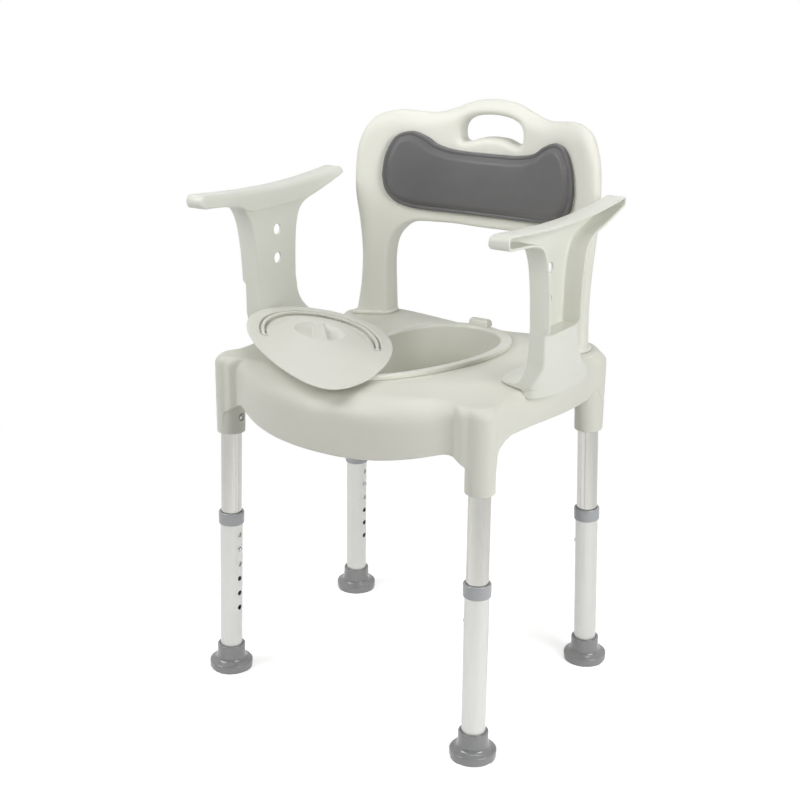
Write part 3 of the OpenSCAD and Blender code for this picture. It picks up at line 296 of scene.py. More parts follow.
def add_mesh(name, verts, faces, sharp=40.0):
    """An object from points in millimetres, doubles merged, faces outwards, sharp past an angle."""
    me = bpy.data.meshes.new(name)
    pts = (np.asarray(verts, float) + [0, SHIFT, 0]) * MM
    me.from_pydata(pts.tolist(), [], [tuple(int(i) for i in f) for f in faces])
    bm = bmesh.new()
    bm.from_mesh(me)
    bmesh.ops.remove_doubles(bm, verts=bm.verts, dist=2e-6)
    bmesh.ops.dissolve_degenerate(bm, edges=bm.edges, dist=1e-6)
    bmesh.ops.recalc_face_normals(bm, faces=bm.faces)
    bm.to_mesh(me)
    bm.free()
    me.shade_smooth()
    me.set_sharp_from_angle(angle=math.radians(sharp))
    return add_object(name, me)


def add_object(name, data):
    ob = bpy.data.objects.new(name, data)
    scene.collection.objects.link(ob)
    return ob


def mesh_points(me):
    return np.array([tuple(v.co) for v in me.vertices])


def baked(ob):
    """A plain mesh of the object with its modifiers applied."""
    bpy.context.view_layer.update()
    return bpy.data.meshes.new_from_object(ob.evaluated_get(bpy.context.evaluated_depsgraph_get()))


def bake(ob):
    """Leaves the object with its modifiers applied."""
    me = baked(ob)
    ob.modifiers.clear()
    ob.data = me


def cut_away(ob, tool):
    """Takes a tool's shape out of an object and removes the tool."""
    cut = ob.modifiers.new("cut", "BOOLEAN")
    cut.operation = "DIFFERENCE"
    cut.solver = "EXACT"
    cut.object = tool
    bake(ob)
    bpy.data.objects.remove(tool)


def joined(parts):
    """Several (verts, faces) as one."""
    verts, faces, n = [], [], 0
    for v, f in parts:
        verts.append(np.asarray(v, float))
        faces += [tuple(i + n for i in g) for g in f]
        n += len(v)
    return np.vstack(verts), faces


def moved(verts, m):
    return np.asarray(verts, float) @ m[:3, :3].T + m[:3, 3]


def loft(rings, caps=True):
    """Skin over a row of closed rings, with a point at the middle of each end."""
    r = np.asarray(rings, float)
    n, m = r.shape[:2]
    faces = quads(n, m)
    verts = r.reshape(-1, 3)
    if caps:
        verts = np.vstack([verts, r[0].mean(0), r[-1].mean(0)])
        faces += [(n * m, (j + 1) % m, j) for j in range(m)]
        faces += [(n * m + 1, (n - 1) * m + j, (n - 1) * m + (j + 1) % m) for j in range(m)]
    return verts, faces


def turned(profile, steps=72):
    """A profile of (radius, height) turned upright; its ends close on the axis or on each other."""
    a = TURN * np.arange(steps) / steps
    p = np.asarray(profile, float)
    heights = np.repeat(p[:, 1:], steps, 1)
    rings = np.stack([np.outer(p[:, 0], np.cos(a)), np.outer(p[:, 0], np.sin(a)), heights], 2)
    return rings.reshape(-1, 3), quads(len(p), steps)


def relief(loops, guides, points, front, back):
    """A closed plate over a flat region: the first loop bounds it, the others are holes.

    Edges follow the guides. front and back give the two faces' heights; returns points (u, v, height)
    and faces.
    """
    verts, edges = [], []
    for loop in list(loops) + list(guides):
        n, m = len(verts), len(loop)
        verts += [Vector(p) for p in loop]
        edges += [(n + i, n + (i + 1) % m) for i in range(m)]
    verts += [Vector(p) for p in points]
    out = delaunay_2d_cdt(verts, edges, [], 0, 1e-4)
    flat = np.array([tuple(v) for v in out[0]])
    tris = np.array([f for f in out[2] if len(f) == 3])
    mid = flat[tris].mean(1)
    keep = inside(mid, loops[0])
    for hole in loops[1:]:
        keep &= ~inside(mid, hole)
    tris = tris[keep]
    n = len(flat)
    both = np.vstack([np.c_[flat, front(flat)], np.c_[flat, back(flat)]])
    count = {}
    for a, b, c in tris:
        for e in ((a, b), (b, c), (c, a)):
            count[tuple(sorted(e))] = count.get(tuple(sorted(e)), 0) + 1
    faces = [tuple(t) for t in tris] + [(c + n, b + n, a + n) for a, b, c in tris]
    faces += [(b, a, a + n, b + n) for (a, b), k in count.items() if k == 1]
    return both, faces


# Finishes

# The Mix node's sockets for colours: the two colours going in, and the result
MIX_A, MIX_B, MIX_OUT = 6, 7, 2


def group(name, colours, values):
    """A shader group that puts out colour, roughness and height, with its input and output nodes."""
    g = bpy.data.node_groups.new(name, "ShaderNodeTree")
    for key in colours:
        g.interface.new_socket(key, in_out="INPUT", socket_type="NodeSocketColor")
    for key in values:
        g.interface.new_socket(key, in_out="INPUT", socket_type="NodeSocketFloat")
    g.interface.new_socket("Colour", in_out="OUTPUT", socket_type="NodeSocketColor")
    g.interface.new_socket("Roughness", in_out="OUTPUT", socket_type="NodeSocketFloat")
    g.interface.new_socket("Height", in_out="OUTPUT", socket_type="NodeSocketFloat")
    return g, g.nodes.new("NodeGroupInput"), g.nodes.new("NodeGroupOutput")


def noise_node(tree, coords, scale, detail):
    n = tree.nodes.new("ShaderNodeTexNoise")
    n.inputs["Detail"].default_value = detail
    n.inputs["Roughness"].default_value = 0.55
    feed(tree, n.inputs["Scale"], scale)
    tree.links.new(coords, n.inputs["Vector"])
    return n.outputs["Fac"]


def feed(tree, socket, value):
    """Gives a socket a plain number, or links another node's output to it."""
    if isinstance(value, float):
        socket.default_value = value
    else:
        tree.links.new(value, socket)


def ranged(tree, value, lo, hi):
    """Spreads a noise's middle values from lo to hi."""
    n = tree.nodes.new("ShaderNodeMapRange")
    n.inputs["From Min"].default_value = 0.3
    n.inputs["From Max"].default_value = 0.7
    feed(tree, n.inputs["To Min"], lo)
    feed(tree, n.inputs["To Max"], hi)
    tree.links.new(value, n.inputs["Value"])
    return n.outputs["Result"]


def mixed(tree, factor, a, b):
    mix = tree.nodes.new("ShaderNodeMix")
    mix.data_type = "RGBA"
    tree.links.new(factor, mix.inputs["Factor"])
    tree.links.new(a, mix.inputs[MIX_A])
    tree.links.new(b, mix.inputs[MIX_B])
    return mix.outputs[MIX_OUT]


def moulded_skin_group():
    """Moulded skin: slow clouding of the colour, uneven gloss and a fine spark-eroded grain."""
    g, gi, go = group("moulded_skin", ("Colour", "Deep"), ("Gloss low", "Gloss high", "Grain"))
    at = g.nodes.new("ShaderNodeTexCoord").outputs["Object"]
    cloud = ranged(g, noise_node(g, at, 5.5, 4.0), 0.0, 1.0)
    patches = noise_node(g, at, 14.0, 5.0)
    gloss = ranged(g, patches, gi.outputs["Gloss low"], gi.outputs["Gloss high"])
    g.links.new(mixed(g, cloud, gi.outputs["Colour"], gi.outputs["Deep"]), go.inputs["Colour"])
    g.links.new(gloss, go.inputs["Roughness"])
    g.links.new(noise_node(g, at, gi.outputs["Grain"], 2.0), go.inputs["Height"])
    return g


def drawn_metal_group():
    """Drawn tube: fine streaks that run along the tube."""
    g, gi, go = group("drawn_metal", ("Colour", "Streak"), ("Gloss low", "Gloss high"))
    squeeze = g.nodes.new("ShaderNodeMapping")
    squeeze.inputs["Scale"].default_value = (1.0, 1.0, 0.012)
    g.links.new(g.nodes.new("ShaderNodeTexCoord").outputs["Object"], squeeze.inputs["Vector"])
    lines = noise_node(g, squeeze.outputs["Vector"], 1500.0, 4.0)
    streaks = ranged(g, lines, 0.0, 1.0)
    gloss = ranged(g, lines, gi.outputs["Gloss low"], gi.outputs["Gloss high"])
    g.links.new(mixed(g, streaks, gi.outputs["Colour"], gi.outputs["Streak"]), go.inputs["Colour"])
    g.links.new(gloss, go.inputs["Roughness"])
    g.links.new(lines, go.inputs["Height"])
    return g


def finish(name, g, values, bump, depth, metallic=0.0, specular=0.5, sheen=0.0):
    m = bpy.data.materials.new(name)
    m.use_nodes = True
    t = m.node_tree
    b = t.nodes["Principled BSDF"]
    n = t.nodes.new("ShaderNodeGroup")
    n.node_tree = g
    for key, value in values.items():
        n.inputs[key].default_value = value
    t.links.new(n.outputs["Colour"], b.inputs["Base Color"])
    t.links.new(n.outputs["Roughness"], b.inputs["Roughness"])
    u = t.nodes.new("ShaderNodeBump")
    u.inputs["Strength"].default_value = bump
    u.inputs["Distance"].default_value = depth * MM
    t.links.new(n.outputs["Height"], u.inputs["Height"])
    t.links.new(u.outputs["Normal"], b.inputs["Normal"])
    b.inputs["Metallic"].default_value = metallic
    b.inputs["Specular IOR Level"].default_value = specular
    b.inputs["Sheen Weight"].default_value = sheen
    return m


def rgb(r, g, b):
    """A colour written as it looks on screen, 0 to 255."""
    def linear(c):
        c /= 255.0
        return c / 12.92 if c <= 0.04045 else ((c + 0.055) / 1.055) ** 2.4
    return (linear(r), linear(g), linear(b), 1)


def moulded(name, colour, deep, gloss, grain, bump, depth=0.3, **more):
    values = {"Colour": rgb(*colour), "Deep": rgb(*deep), "Grain": grain}
    values["Gloss low"], values["Gloss high"] = gloss
    return finish(name, skin, values, bump, depth, **more)


def metal(name, colour, streak, gloss, bump, depth, metallic=1.0):
    values = {"Colour": rgb(*colour), "Streak": rgb(*streak)}
    values["Gloss low"], values["Gloss high"] = gloss
    return finish(name, drawn, values, bump, depth, metallic)


skin = moulded_skin_group()
drawn = drawn_metal_group()
seat_plastic = moulded("seat_plastic", (226, 226, 215), (222, 222, 211), (0.42, 0.5), 1400.0, 0.05)
back_plastic = moulded("back_plastic", (233, 233, 223), (229, 229, 219), (0.42, 0.5), 1400.0, 0.05)
arm_plastic = moulded("arm_plastic", (228, 229, 219), (224, 225, 215), (0.3, 0.38), 1600.0, 0.04)
pan_plastic = moulded("pan_plastic", (222, 222, 212), (218, 218, 208), (0.3, 0.38), 1600.0, 0.03)
lid_plastic = moulded("lid_plastic", (226, 226, 217), (222, 222, 213), (0.36, 0.44), 1500.0, 0.05)
pad_foam = moulded("pad_foam", (104, 103, 104), (94, 93, 94), (0.38, 0.46), 700.0, 0.35, 0.4, sheen=0.1)
grey_rubber = moulded(
    "grey_rubber", (150, 151, 151), (142, 143, 143), (0.12, 0.17), 900.0, 0.03, specular=0.8)
collar_grey = moulded(
    "collar_grey", (175, 177, 180), (169, 171, 174), (0.14, 0.2), 900.0, 0.03, specular=0.7)
upper_alloy = metal("upper_alloy", (200, 199, 194), (190, 189, 184), (0.21, 0.25), 0.01, 0.1)
lower_alloy = metal("lower_alloy", (224, 224, 221), (220, 220, 217), (0.32, 0.37), 0.006, 0.1, metallic=0.5)
bright_steel = metal("bright_steel", (200, 200, 202), (186, 186, 188), (0.16, 0.26), 0.04, 0.2)


def paint(ob, material):
    ob.data.materials.clear()
    ob.data.materials.append(material)


def place(ob, material, body, slot, *nodes):
    """Gives a finished piece its material and its body, and hides the CAD nodes that it replaces; slot is
    not used.
    """
    paint(ob, material)
    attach(ob, body)
    if nodes:
        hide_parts(*nodes)
    return ob


# Legs: ferrules, collars and snap clips; the tubes keep their CAD meshes

def leg_matrix(left, rear):
    """Sets what is drawn upright, holes facing -X, on a right leg's axis or on its mirror image."""
    sideways, lengthwise = [math.radians(v) for v in SPLAY[rear]]
    top = np.array([SOCKET_X, SOCKET_BACK if rear else -SOCKET_FRONT, SOCKET_Z])
    out = np.array([math.tan(sideways), math.tan(lengthwise) if rear else -math.tan(lengthwise), -1])
    foot = top + SOCKET_Z * out
    v = (top - foot) / np.linalg.norm(top - foot)
    tilt = Matrix.Rotation(math.asin(v[0] / math.sqrt(1 - v[1] ** 2)), 4, "Y")
    m = Matrix.Translation(foot) @ tilt @ Matrix.Rotation(-math.asin(v[1]), 4, "X")
    mirror = Matrix.Scale(-1, 4, Vector((1, 0, 0))) if left else Matrix.Identity(4)
    return np.array(mirror @ m)


def ferrule_profile():
    r, neck, h, bore = FERRULE_R, FERRULE_NECK_R, FERRULE_H, FERRULE_BORE_R
    shoulder = [(r - 3.4, 13.7), (r - 6.8, 15.0), (r - 9.8, 17.4), (neck + 0.7, 21.5), (neck + 0.1, 28.0)]
    p = [(0, 0), (r - 5, 0)]
    p += arc(r - 3, 3.2, 3, 3.2, (-70, -45, -20, 0))
    p += [(r, 6), (r + 0.2, 9.0)]
    p += arc(r - 2.4, 11.0, 2.6, 2.4, (20, 45, 70))
    p += [tuple(q) for q in through(shoulder + [(neck - 0.1, h - 2)], np.linspace(0, 1, 22))]
    p += arc(neck - 1.5, h - 1.4, 1.4, 1.4, (30, 60, 90))
    p += [(bore + 0.9, h), (bore + 0.1, h - 0.8), (bore, h - 3), (bore, FERRULE_SOLE), (0, FERRULE_SOLE)]
    return p


def collar_profile():
    r, low, top, bore = COLLAR_R, COLLAR_LOW, COLLAR_TOP, COLLAR_BORE_R
    p = [(bore, top - 2), (bore, low + 0.4), (bore + 0.4, low)]
    p += arc(r - 1.5, low + 1.5, 1.5, 1.5, (-80, -55, -30, 0))
    p += [(r, lerp(low + 1.5, top - 2.4, u)) for u in (0.3, 0.7, 1)]
    p += arc(r - 2.2, top - 2.2, 2.2, 2.2, (25, 50, 75, 90))
    p += [(bore - 0.8, top), (bore - 1.3, top - 0.4), (bore - 1.3, top - 2), (bore, top - 2)]
    return p


def spring_clip():
    """The leaf spring bent to a V inside the upper tube, with the button on its outer leaf."""
    slope = (LEAF_X - LEAF_R) / (LEAF_UP - LEAF_LOW)
    rise = np.linspace(LEAF_UP - LEAF_LOW, 0, 9)[:-1]
    leaf = np.stack([-LEAF_R - slope * rise, rise], 1)
    bend = arc(0, 0, LEAF_R, LEAF_R, np.linspace(180, 360, 17))
    path = np.vstack([leaf, bend, (leaf * [-1, 1])[::-1]])
    inner = path + LEAF_T * left_normals(np.gradient(path, axis=0))
    rings = [[(*o, -1), (*o, 1), (*i, 1), (*i, -1)] for o, i in zip(path, inner)]
    strip, faces = loft(rings)
    strip = np.stack([strip[:, 0], strip[:, 2] * LEAF_W / 2, strip[:, 1] + BUTTON_Z + LEAF_LOW], 1)
    start, crown = LEAF_X - slope * LEAF_UP - LEAF_T, BUTTON_CROWN * BUTTON_R
    brim = math.degrees(math.acos(1 / BUTTON_CROWN))
    dome = arc(0, BUTTON_END - crown, crown, crown, np.linspace(brim, 90, 8))
    knob, sides = turned([(0, start), (BUTTON_R, start)] + dome, 40)
    knob = np.stack([-knob[:, 2], knob[:, 1], knob[:, 0] + BUTTON_Z], 1)
    return joined([(strip, faces), (knob, sides)])


def leg_piece(name, shape, at, floor=None):
    """A turned or bent piece set on a leg; what lies under the floor's trim is brought down flat."""
    verts, faces = shape
    verts = moved(verts, at)
    if floor:
        verts[:, 2] = np.where(verts[:, 2] < floor, 0.0, verts[:, 2])
    return add_mesh(name, verts, faces, 60)


def add_clip(tag, at):
    """A snap clip's leaf spring and button, one steel piece set on the leg in place of the CAD clip."""
    verts, faces = spring_clip()
    ob = add_mesh("clip_" + tag + "_spring", moved(verts, at), faces, 50)
    paint(ob, bright_steel)
    x = LEAF_X - LEAF_REST
    ends = moved([(x, 0, BUTTON_Z), (-x, 0, BUTTON_Z)], at)
    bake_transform(ob)
    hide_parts("clip_" + tag)


for tag, (left, rear) in LEGS.items():
    at = leg_matrix(left, rear)
    add_clip(tag, at)
    ferrule = leg_piece("ferrule_" + tag + "_moulding", turned(ferrule_profile()), at, SOLE_TRIM)
    place(ferrule, grey_rubber, "leg_" + tag, "grey_rubber", "ferrule_" + tag)
    collar = leg_piece("collar_" + tag + "_moulding", turned(collar_profile()), at)
    place(collar, collar_grey, "leg_" + tag, "grey_plastic", "collar_" + tag)
    paint(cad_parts["upper_tube_" + tag], upper_alloy)
    paint(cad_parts["lower_tube_" + tag], lower_alloy)


# Seat

def seat_distance(p):
    """Distance outside the seat's outline: the bulged body, blended into the four columns."""
    x, y = np.abs(p[:, 0]), p[:, 1]
    bow = SIDE_BOW * (1 - np.minimum(np.abs(y) / SOCKET_FRONT, 1) ** 2)
    bulge = (FRONT - FRONT_BASE) * (1 - np.minimum(x / BULGE_HALF, 1) ** 3)
    qx, qy = np.maximum(x - bow, 0), np.where(y < 0, y + bulge, y)
    corner = np.where(y < 0, CORNER_R, REAR_CORNER_R)
    dx = qx - (SEAT_HALF - SIDE_BOW) + corner
    dy = np.abs(qy - (REAR - FRONT_BASE) / 2) - (REAR + FRONT_BASE) / 2 + corner
    body = np.hypot(np.maximum(dx, 0), np.maximum(dy, 0)) + np.minimum(np.maximum(dx, dy), 0) - corner
    column = np.hypot(x - SOCKET_X, y - np.where(y < 0, -SOCKET_FRONT, SOCKET_BACK)) - COLUMN_R
    k = lerp(SIDE_BLEND, COLUMN_BLEND, smooth((SOCKET_X - x) / COLUMN_R))
    h = np.maximum(k - np.abs(body - column), 0)
    return np.minimum(body, column) - h * h / (4 * k)


def opening_distance(p):
    """Distance outside the egg-shaped opening, taken sideways."""
    c = (PAN_Y - p[:, 1]) / (PAN_LEN - RIM_W)
    t = np.arccos(np.clip(c, -1, 1))
    half = (PAN_W - RIM_W) * np.sin(t) * (1 - PAN_TAPER * np.cos(t))
    return np.where(np.abs(c) >= 1, 1.0, np.abs(p[:, 0]) - half)


def ray_points(f, r):
    return np.stack([r * np.cos(f), LOFT_Y + r * np.sin(f)], 1)


def reach(f, distance):
    """How far each ray runs before it leaves the outline, found by halving."""
    lo, hi = np.zeros(len(f)), np.full(len(f), 900.0)
    for _ in range(40):
        m = (lo + hi) / 2
        inner = distance(ray_points(f, m)) < 0
        lo, hi = np.where(inner, m, lo), np.where(inner, hi, m)
    return (lo + hi) / 2


def seat_directions():
    """The rays' directions, closer together at the columns."""
    front = math.degrees(math.atan2(-SOCKET_FRONT - LOFT_Y, SOCKET_X))
    rear = math.degrees(math.atan2(SOCKET_BACK - LOFT_Y, SOCKET_X))
    columns = [front, rear, 180 - rear, 180 - front, 360 + front]
    counts = [(84, 52), (76, 64), (76, 52), (84, 110)]
    runs = []
    for here, after, (at_column, between) in zip(columns, columns[1:], counts):
        runs.append(np.linspace(here - COLUMN_ARC, here + COLUMN_ARC, at_column, endpoint=False))
        runs.append(np.linspace(here + COLUMN_ARC, after - COLUMN_ARC, between, endpoint=False))
    return np.radians(np.concatenate(runs))


def apron_edge(p, tip, side):
    """Height of the lower edge: to the mouth outside each column, a lip beside it, then the aprons."""
    x, y = p.T
    s = np.hypot(*(p - tip).T) - np.where(y > 0, MOUTH_REAR, MOUTH_FRONT)
    flank = APRON_SIDE + SIDE_FALL * smooth((y - FALL_START) / FALL_RUN)
    front = APRON_FRONT - APRON_RISE * (x / BULGE_HALF) ** 2
    h = SOCKET_DROP - np.where(side, flank, np.where(y < 0, front, APRON_REAR))
    lip = LIP_UP * quarter(s / LIP_RUN)
    behind = lip + (NOTCH_UP - LIP_UP) * smooth(s / NOTCH_RUN)
    behind = behind + (h - NOTCH_UP) * smooth((s - REAR_START) / REAR_RUN)
    ahead = np.where(side, h * quarter(s / SIDE_RUN), lip + (h - LIP_UP) * smooth(s / FRONT_RUN))
    return SOCKET_Z + np.where(y > 0, behind, ahead)


def seat_shell():
    """The shell as rings of (radius, height) along the rays, from the opening's hem out, down and back."""
    f = seat_directions()
    ro, rt = reach(f, opening_distance), reach(f, seat_distance)
    p = ray_points(f, rt)
    sx, sy = np.sign(p[:, 0]), np.where(p[:, 1] < 0, -1, 1)
    col = np.stack([SOCKET_X * sx, np.where(p[:, 1] < 0, -SOCKET_FRONT, SOCKET_BACK)], 1)
    tip = col + COLUMN_R * math.sqrt(0.5) * np.stack([sx, sy], 1)
    side = np.abs(p[:, 0]) > SOCKET_X
    zb = apron_edge(p, tip, side)
    er = np.where(side, EDGE_SIDE, np.where(p[:, 1] < 0, EDGE_FRONT, EDGE_REAR))
    er = lerp(EDGE_COLUMN, er, smooth((np.hypot(*(p - col).T) - COLUMN_R) / EDGE_RUN))
    zt = SEAT_TOP - LEDGE_DROP * (1 - smooth(np.abs(p[:, 0]) / LEDGE_SPAN))
    ledge = np.full(len(f), SEAT_TOP - LEDGE_DROP)
    r0, r1, ei = ro + RIM_W + LEDGE_MARGIN, rt - er, er - WALL
    zl = zb + LOWER_EDGE_H
    rows = [(ro, ledge - OPENING_HEM), (ro, ledge - 4 * HEM_EDGE), (ro, ledge - HEM_EDGE)]
    rows += arc(ro + HEM_EDGE, ledge - HEM_EDGE, HEM_EDGE, HEM_EDGE, (150, 120, 90))
    rows += [(ro + 3 * HEM_EDGE, ledge), (r0, ledge)]
    rows += [(lerp(r0, r1, s), lerp(ledge, zt, smooth(2 * s))) for s in np.linspace(0, 1, 26)[1:-1]]
    rows += arc(r1, zt - er, er, er, np.linspace(90, 0, 19))
    rows += [(rt, lerp(zt - er, zl, s)) for s in (0.2, 0.4, 0.6, 0.8, 0.93, 1.0)]
    rows += arc(rt - LOWER_EDGE_W, zl, LOWER_EDGE_W, LOWER_EDGE_H, (-30, -60, -90))
    rows += [(rt - WALL + 0.6, zb), (rt - WALL, zb + 0.8)]
    rows += [(rt - WALL, lerp(zb + 0.8, zt - er, s)) for s in (0.3, 0.7)]
    rows += arc(r1, zt - er, ei, ei, np.linspace(0, 90, 7))
    rows += [(r0, ledge - WALL), (ro + WALL, ledge - WALL), (ro + WALL, ledge - OPENING_HEM)]
    rings = np.stack([np.c_[ray_points(f, r), z] for r, z in rows], 1)
    return rings.reshape(-1, 3), quads(len(f), len(rows), wrap_rows=True)


def socket_tube(left, rear):
    """A leg socket with its mouth eased and the screw's seat sunk into it."""
    top, edge = SOCKET_Z + SOCKET_DEPTH, SOCKET_EDGE
    p = [(0, top), (BORE_R, top), (BORE_R, SOCKET_Z + 1.2), (BORE_R + 0.8, SOCKET_Z)]
    p += [(SOCKET_R - edge, SOCKET_Z)]
    p += arc(SOCKET_R - edge, SOCKET_Z + edge, edge, edge, (-60, -30, 0))
    p += [(SOCKET_R, SOCKET_Z + h) for h in (14, 40, 70)]
    p += [(SOCKET_R, top + WALL), (0, top + WALL)]
    tube = add_mesh("socket", *turned(p, 96))
    cut = add_mesh("cut", *turned([(0, 0), (SCREW_SEAT_R, 0), (SCREW_SEAT_R, 30), (0, 30)], 40))
    at = Matrix.Translation((-(SOCKET_R - SCREW_SINK) * MM, SHIFT * MM, SCREW_Z * MM))
    outwards = Matrix.Rotation(-math.pi / 2, 4, "Y")
    cut.matrix_world = at @ outwards @ Matrix.Translation((0, -SHIFT * MM, 0))
    cut_away(tube, cut)
    verts = moved(mesh_points(tube.data) / MM - [0, SHIFT, 0], leg_matrix(left, rear))
    faces = [tuple(q.vertices) for q in tube.data.polygons]
    bpy.data.objects.remove(tube)
    return verts, [f[::-1] for f in faces] if left else faces


place(add_mesh("seat_moulding", *seat_shell(), 50), seat_plastic, "chair", "seat_plastic", "seat")
sockets = joined([socket_tube(*side) for side in LEGS.values()])
place(add_mesh("leg_sockets", *sockets, 40), seat_plastic, "chair", "seat_plastic")


# Screws: one head, set on the four sockets by a node tree

def screw_head():
    """A domed head with a cross cut into it."""
    p = [(0, 0.0), (SCREW_R - 0.1, 0.0), (SCREW_R + 0.1, 0.4), (SCREW_R, SCREW_RIM)]
    p += arc(0, SCREW_RIM, SCREW_R, SCREW_CROWN, (20, 40, 60, 80))
    head = add_mesh("screw_head", *turned(p + [(0, SCREW_RIM + SCREW_CROWN + 0.02)], 36))
    size = Matrix.Diagonal([v * MM for v in CROSS_SIZE] + [1])
    for angle in (0, 90):
        at = Matrix.Translation((0, SHIFT * MM, CROSS_Z * MM)) @ Matrix.Rotation(math.radians(angle), 4, "Z")
        bm = bmesh.new()
        bmesh.ops.create_cube(bm, size=1.0, matrix=at @ size)
        me = bpy.data.meshes.new("cross")
        bm.to_mesh(me)
        bm.free()
        cut_away(head, add_object("cross", me))
    head.data.transform(Matrix.Translation((0, -SHIFT * MM, 0)))
    return head


def screw_tree(head, material):
    """Node tree: a copy of the head at each point, turned to the point's own direction."""
    t = bpy.data.node_groups.new("screws_on_sockets", "GeometryNodeTree")
    t.interface.new_socket("Geometry", in_out="INPUT", socket_type="NodeSocketGeometry")
    size = t.interface.new_socket("Head size", in_out="INPUT", socket_type="NodeSocketFloat")
    size.default_value = 1.0
    t.interface.new_socket("Geometry", in_out="OUTPUT", socket_type="NodeSocketGeometry")
    gi, go = t.nodes.new("NodeGroupInput"), t.nodes.new("NodeGroupOutput")
    info = t.nodes.new("GeometryNodeObjectInfo")
    info.inputs["Object"].default_value = head
    way = t.nodes.new("GeometryNodeInputNamedAttribute")
    way.data_type = "FLOAT_VECTOR"
    way.inputs["Name"].default_value = "facing"
    turn = t.nodes.new("FunctionNodeAlignRotationToVector")
    turn.axis = "Z"
    on = t.nodes.new("GeometryNodeInstanceOnPoints")
    real = t.nodes.new("GeometryNodeRealizeInstances")
    coat = t.nodes.new("GeometryNodeSetMaterial")
    coat.inputs["Material"].default_value = material
    t.links.new(gi.outputs["Geometry"], on.inputs["Points"])
    t.links.new(info.outputs["Geometry"], on.inputs["Instance"])
    t.links.new(way.outputs["Attribute"], turn.inputs["Vector"])
    t.links.new(turn.outputs["Rotation"], on.inputs["Rotation"])
    t.links.new(gi.outputs["Head size"], on.inputs["Scale"])
    t.links.new(on.outputs["Instances"], real.inputs["Geometry"])
    t.links.new(real.outputs["Geometry"], coat.inputs["Geometry"])
    t.links.new(coat.outputs["Geometry"], go.inputs["Geometry"])
    return t


def socket_screws():
    at, way = [], []
    for left, rear in LEGS.values():
        m = leg_matrix(left, rear)
        at.append(m[:3, :3] @ [-(SOCKET_R - SCREW_SINK + SCREW_LIFT), 0, SCREW_Z] + m[:3, 3])
        way.append(m[:3, :3] @ [-1, 0, 0])
    points = add_mesh("socket_screw_set", at, [])
    facing = points.data.attributes.new("facing", "FLOAT_VECTOR", "POINT")
    facing.data.foreach_set("vector", np.array(way).ravel())
    head = screw_head()
    points.modifiers.new("screws", "NODES").node_group = screw_tree(head, bright_steel)
    bake(points)
    bpy.data.objects.remove(head)
    points.data.shade_smooth()
    points.data.set_sharp_from_angle(angle=math.radians(30))
    return points


place(socket_screws(), bright_steel, "chair", "bright_steel", *["socket_screw_" + tag for tag in LEGS])


# Pan

def pan_ring(d, z, n=176):
    """The pan's egg outline, d inside its rim's edge, at a height."""
    t = TURN * np.arange(n) / n
    x = (PAN_W - d) * np.sin(t) * (1 - PAN_TAPER * np.cos(t))
    return np.stack([x, PAN_Y - (PAN_LEN - d) * np.cos(t), np.full(n, z)], 1)


def pan_bowl():
    """The bowl's skin as (inset, height), from the middle of its floor over the rim to the underside."""
    top, low = SEAT_TOP, SEAT_TOP - PAN_DEPTH
    o, g, br = RIM_W + PAN_GAP, RIM_IN, PAN_BOTTOM_R
    i, floor = o + PAN_WALL, low + PAN_WALL
    foot_in, foot_out = i + PAN_DRAFT + br, o + PAN_DRAFT + br
    p = [(foot_in + 40, floor), (foot_in + 18, floor)]
    p += arc(foot_in, floor + br, br, br, np.linspace(270, 180, 10))
    for s in np.linspace(0, 1, 9)[1:]:
        p.append((i + PAN_DRAFT * (1 - s) ** PAN_FLARE, lerp(floor + br, top - 8, s)))
    p += arc(i - RIM_LEAD, top - RIM_LEAD, RIM_LEAD, RIM_LEAD, np.linspace(0, 90, 8))
    p += arc(g + RIM_EDGE, top - RIM_EDGE, RIM_EDGE, RIM_EDGE, np.linspace(90, 180, 7))
    p += [(g, top - 5), (g, top - RIM_H + 0.4), (g + 0.5, top - RIM_H), (o, top - RIM_H)]
    for s in np.linspace(1, 0, 9):
        p.append((o + PAN_DRAFT * (1 - s) ** PAN_FLARE, lerp(low + br, top - 10, s)))
    p += arc(foot_out, low + br, br, br, np.linspace(180, 270, 10))
    p += [(foot_out + 18, low), (foot_out + 40, low)]
    return loft([pan_ring(d, z) for d, z in p])


def pan_grip():
    """The lug on the rim's rear: a hump with a steeper back, drawn from the side and swept across."""
    y, z, up = PAN_Y + PAN_LEN - RIM_W, SEAT_TOP, SEAT_TOP + GRIP_H
    hump = [(y, z - 1), (y + 0.6, z + 3.4), (y + 2.6, up - 1.6), (y + 6, up), (y + 12, up),
            (y + 15.6, up - 1.4), (y + 17.6, up - 4.6), (y + 18, z), (y + 17.4, z - 1)]
    ends = [(17, 0.0), (17, 0.72), (16.5, 0.88), (15.4, 0.96), (13.8, 1)]
    side = through(hump, np.linspace(0, 1, 40))
    c = np.array([y + 9, z - 1])
    rings = []
    for x, s in [(-x, s) for x, s in ends] + [(0, 1)] + ends[::-1]:
        q = c + (side - c) * [1, s] * [0.9 + 0.1 * s, 1]
        rings.append(np.c_[np.full(len(q), x), q])
    return loft(rings, caps=False)


pan = add_mesh("pan_moulding", *joined([pan_bowl(), pan_grip()]), 50)
place(pan, pan_plastic, "pan", "pan_plastic", "pan")


# Lid and bail

def lid_frame(verts):
    """Lays what is drawn flat, the lid's rear towards +Y, in the lid's place."""
    m = Matrix.Translation(LID_AT)
    for axis, angle in zip("XYZ", LID_TURN):
        m = m @ Matrix.Rotation(math.radians(angle), 4, axis)
    return moved(verts, np.array(m))


def lid_egg(d, t):
    """The lid's outline, d inside its edge; t runs from the front round by the right."""
    x = (LID_W - d) * np.sin(t) * (1 - LID_TAPER * np.cos(t))
    return np.stack([x, -(LID_LEN - d) * np.cos(t)], 1)


